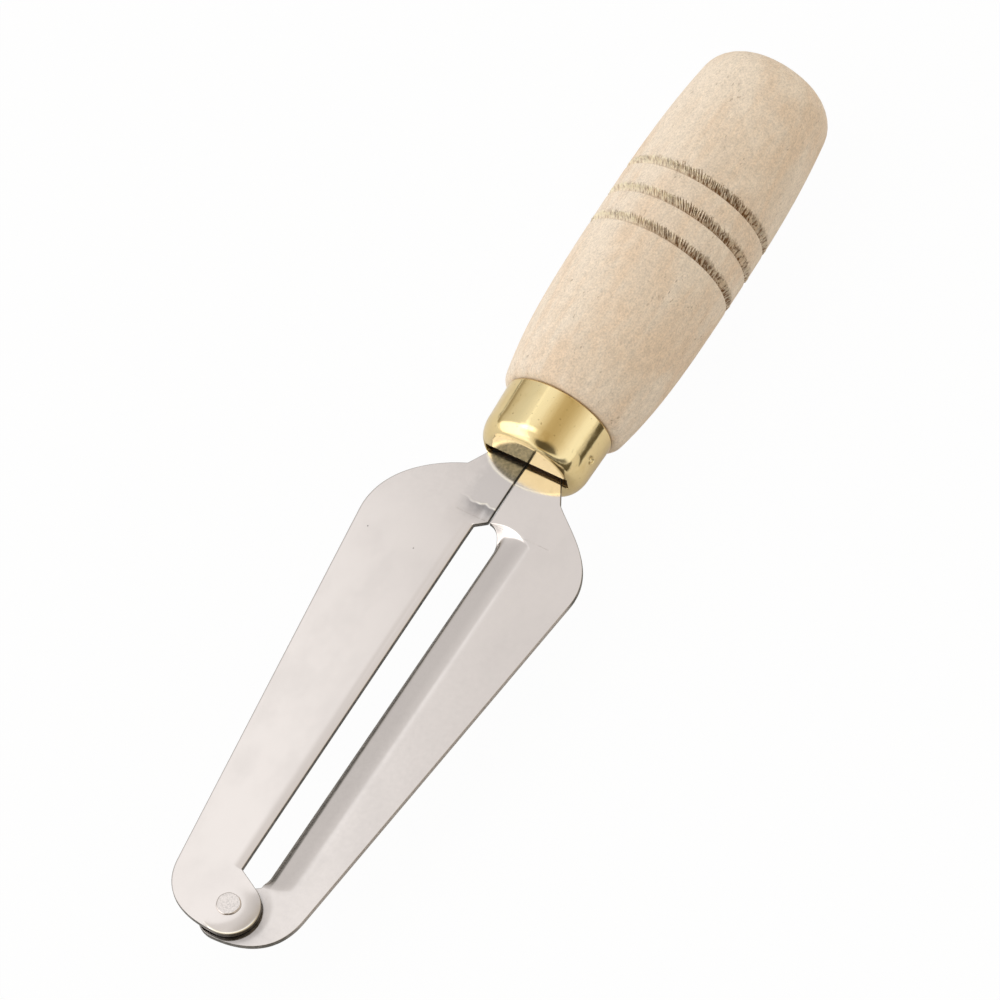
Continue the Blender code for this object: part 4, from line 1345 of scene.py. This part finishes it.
def marks_cutting_leaf(x, reach, down):
    """A painted reflection of the ferrule inside the oval, a worn neck before the bend, a darker patch
    just behind it, painted shade on the lobe's right, and painted highlights on the ridge and the burr."""
    behind_bend = reach - bend_reach(x)
    # Painted reflection of the ferrule, inside the half oval.
    ferrule_reflection = fade(inside_oval(x, reach), 0.40, 0.4) * (reach > -1.0 * MM)
    dark_patch = on_line(np.clip(behind_bend, 0.0, None), 3.1) * fade(behind_bend, 0.15, 0.4)
    dark_patch = dark_patch * fade(x, -10.0, 7.0)
    # Painted shade on the lobe's right, beside the dish round the rivet.
    lobe_painted_shade = fade(lobe_distance(x, reach), -4.5, 4.0) * fade(x, 0.5, 3.5) * (reach > RIVET[1] - 7.0 * MM)
    neck = fade(x, -10.0, 7.0) * (1 - fade(behind_bend, 0.0, 1.5))
    worn = np.clip(1.1 * neck + 0.35 * (1 - fade(reach, 8.0, 22.0)), 0.0, 1.3)
    # Painted highlights: bright lines on the bend's ridge and the lobe's burr.
    lines = np.maximum(0.55 * np.clip(bend_ridge(x, reach), 0, 1), 0.95 * lobe_burr(x, reach))
    return {"ferrule_reflection": ferrule_reflection, "worn": worn, "dark_patch": dark_patch + 0.30 * lobe_painted_shade, "curl_shade": 0 * x,
            "edge_share": 1 + 0 * x, "bright": (down < SHEET / 2) * lines}


def shape_cutting_leaf(x, reach, down):
    """Half the sheet's thickness less the roll, the dip, the pressed corner and the dish, plus the bend
    line, the burr and the rise."""
    pressed = fade(reach - bend_reach(x), 0.0, 4.5) * fade(x, -10.0, 9.0) * (1 - fade(reach, 15.0, 8.0))
    sunk = rolled_edge(x, reach) + dip(reach) + PRESSED_DEPTH * pressed + dished_lobe(x, reach)
    raised = BEND_RIDGE * bend_ridge(x, reach) + BURR_HEIGHT * lobe_burr(x, reach)
    height = SHEET / 2 - down - sunk + raised + rise(reach) + waver(x, reach)
    return height, marks_cutting_leaf(x, reach, down)


steel = steel_finish()
cutting = leaf_object("cutting_leaf_sheet", CUT, cut_inner_edge(), shape_cutting_leaf, steel)
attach(cutting, "root")
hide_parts("cutting_leaf")

# %% [markdown]
# ## The guard leaf
# Along the slot the guard leaf is pressed down to a lip, so the rind meets a slope and not an edge.
# The lip is an even slope with a curl at the slot, and the curl widens towards the tip.  At the notch
# the die left a curved step: the lip starts there along an arc, with a steep face turned to the tip.

# %% Forms of the guard leaf
LIP_WIDTH = 5.9 * MM
LIP_SLOPE = (0.175, 0.125)
LIP_BLEND = 1.7 * MM
LIP_ARC = (4.2 * MM, 15.1 * MM, 5.7 * MM, 1.9 * MM)  # middle, reach there, half width, reach gained
LIP_END = 3.5 * MM
CURL_WIDTH = (1.15 * MM, 2.0 * MM)
CURL_DROP = 0.80 * MM
STEP_SLOPE = 0.34
STEP_BLEND = 0.12 * MM
UNDER_LOBE = 0.20 * MM
TINY = 1e-9


def even_slope(short, blend):
    """How far short of the slope's foot a place is, with a rounded start: zero beyond the foot and a
    parabola between."""
    rounded = np.clip(short + blend, 0.0, None) ** 2 / (4 * blend)
    return np.where(short > blend, short, rounded) * (short > -blend)


def lip_start(x):
    """Reach at which the lip starts: an arc from the slit over to the lip's foot."""
    middle, reach, half_width, gained = LIP_ARC
    return reach + gained * ((x - middle) / half_width) ** 2


def along_guard_edge(x, reach):
    """Distance from the guard's edge into the sheet, and the share of the way along it."""
    start, end = GUARD_EDGE
    line = (end - start) / np.linalg.norm(end - start)
    away = np.maximum((x - start[0]) * line[1] - (reach - start[1]) * line[0], 0.0)
    return away, np.clip((reach - start[1]) / (end[1] - start[1]), 0.0, 1.0)


def between(pair, share):
    """The value at a share of the way from the first of a pair to the second."""
    return pair[0] + (pair[1] - pair[0]) * share


def pressed_lip(x, reach):
    """Drop of the lip: the lower of two slopes, the long one down to the slot and the steep one of the
    step, joined by the cube root of their cubes."""
    away, share = along_guard_edge(x, reach)
    side_drop = between(LIP_SLOPE, share) * even_slope(LIP_WIDTH - away, LIP_BLEND) + TINY
    step_drop = STEP_SLOPE * even_slope(reach - lip_start(x), STEP_BLEND) + TINY
    return ((side_drop / MM) ** -3 + (step_drop / MM) ** -3) ** (-1 / 3) * MM


def curled_edge(x, reach):
    """Drop of the curl, the square of the way from where it starts, and where it is painted dark, as
    painted shade.
    """
    away, share = along_guard_edge(x, reach)
    width = between(CURL_WIDTH, share)
    drop = CURL_DROP * np.clip(1 - away / width, 0.0, 1.0) ** 2 * smooth((reach - NOTCH_REACH) / (5.0 * MM))
    return drop, fade(width - away, 0.15, 0.3) * fade(reach, 17.5, 4.0)


# %% Guard leaf


def shape_guard_leaf(x, reach, down):
    """Half the sheet's thickness less the lip and its curl, which come level at the tip, the dip, the
    rise and the seat under the other leaf's lobe.  A painted shadow of that lobe lies along its edge."""
    level = smooth((GUARD_EDGE[1][1] - reach) / LIP_END)
    curl, curl_painted_shade = curled_edge(x, reach)
    seat = UNDER_LOBE * (1 - fade(from_rivet(x, reach), 6.0, 4.0))
    height = SHEET / 2 - down - (pressed_lip(x, reach) + curl) * level - dip(reach) - rise(reach) - seat
    height = height + waver(x + 9 * MM, reach + 20 * MM)
    worn = 0.15 + 0.22 * fade(reach, 30.0, 50.0)
    spread = 0.4 * MM + 1.4 * MM * fade(reach - RIVET[1], -2.0, 5.0)
    # Painted shadow of the cutting leaf's lobe on the guard leaf, spreading wider towards the tip.
    lobe_shadow = np.exp(-np.maximum(lobe_distance(x, reach), 0.0) / spread) * fade(x, -5.0, 6.0)
    # The guard's straight outer edge gets less of the dark edge's painted shade.
    straight = fade(reach, 24.0, 4.0) * (1 - fade(reach, 116.0, 6.0)) * (x > 8 * MM)
    # A faint painted reflection of the ferrule inside the half oval.
    return height, {"ferrule_reflection": 0.20 * (inside_oval(x, reach) > 0), "worn": worn, "dark_patch": 0.95 * lobe_shadow,
                    "curl_shade": 0.85 * curl_painted_shade * level, "edge_share": 1 - 0.65 * straight, "bright": 0 * x}


guard = leaf_object("guard_leaf_sheet", GUARD, guard_inner_edge(), shape_guard_leaf, steel)
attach(guard, "root")
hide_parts("guard_leaf")

# %% [markdown]
# ## The tip rivet
# One rivet holds the leaves together at the tip.  Its head was hammered nearly flush and dressed flat,
# so its rim is a little uneven and its top faintly dished.  It is a turned path again, with a slow
# wave added round the rim.

# %% Rivet
HEAD_RADIUS = 2.7 * MM
HEAD_HEIGHT = 0.34 * MM
HEAD_ROUNDING = 0.28 * MM
HEAD_DISH = 0.05 * MM
TAIL_RADIUS = 2.4 * MM
TAIL_HEIGHT = 0.6 * MM
SHANK_RADIUS = 1.5 * MM
RIVET_SEAT = LEAF_RISE + SHEET / 2 + 0.02 * MM
RIVET_COLUMNS = 96


def rivet_finish():
    """The leaves' steel, a little brighter, with hammer marks."""
    made, n, shader = new_material("rivet_steel")
    place = n.add("ShaderNodeTexCoord").outputs["Object"]
    blows = n.noise(place, (700.0, 700.0, 700.0), 2.0, 0.5)
    grain = n.noise(place, (2600.0, 2600.0, 2600.0), 3.0, 0.6)
    n.link(shader.inputs["Base Color"], n.blend(n.range(grain, 0.4, 0.75), STEEL, STEEL_DULL))
    shader.inputs["Metallic"].default_value = 1.0
    n.link(shader.inputs["Roughness"], n.range(grain, 0.3, 0.7, 0.14, 0.22))
    add_bump(n, shader, n.math("ADD", blows, n.times(grain, 0.15)), 0.008 * MM, 0.3)
    return made


def rivet_path():
    """(radius, height) over the dished head, round its rim, down the shank and over the tail."""
    top = RIVET_SEAT + HEAD_HEIGHT
    turn = np.linspace(0.0, math.pi / 2, 8)
    dish = np.linspace(0.0, HEAD_RADIUS - HEAD_ROUNDING, 12)[:-1]
    radius = np.concatenate([
        dish, HEAD_RADIUS - HEAD_ROUNDING * (1 - np.sin(turn)),
        [HEAD_RADIUS, SHANK_RADIUS, SHANK_RADIUS, TAIL_RADIUS], TAIL_RADIUS * np.cos(turn)])
    height = np.concatenate([
        top - HEAD_DISH * (1 - dish / HEAD_RADIUS), top - HEAD_ROUNDING * (1 - np.cos(turn)),
        [RIVET_SEAT, RIVET_SEAT, -RIVET_SEAT, -RIVET_SEAT], -RIVET_SEAT - TAIL_HEIGHT * np.sin(turn)])
    return radius, height


def make_rivet():
    """The path carried round the rivet's own axis, its radius wavering by a percent or two."""
    angle = np.linspace(0.0, 2 * math.pi, RIVET_COLUMNS, endpoint=False)
    path_radius, path_height = rivet_path()
    radius = path_radius[:, None] * (1 + 0.018 * np.sin(3 * angle + 0.7) + 0.010 * np.sin(7 * angle))
    height = path_height[:, None] + 0 * angle
    x, y = RIVET[0] + radius * np.cos(angle), blade_y(RIVET[1]) + radius * np.sin(angle)
    points = np.stack([x, y, height], axis=-1)
    return grid_object("tip_rivet_head", points, rivet_finish())


rivet = make_rivet()
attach(rivet, "root")
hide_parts("tip_rivet")
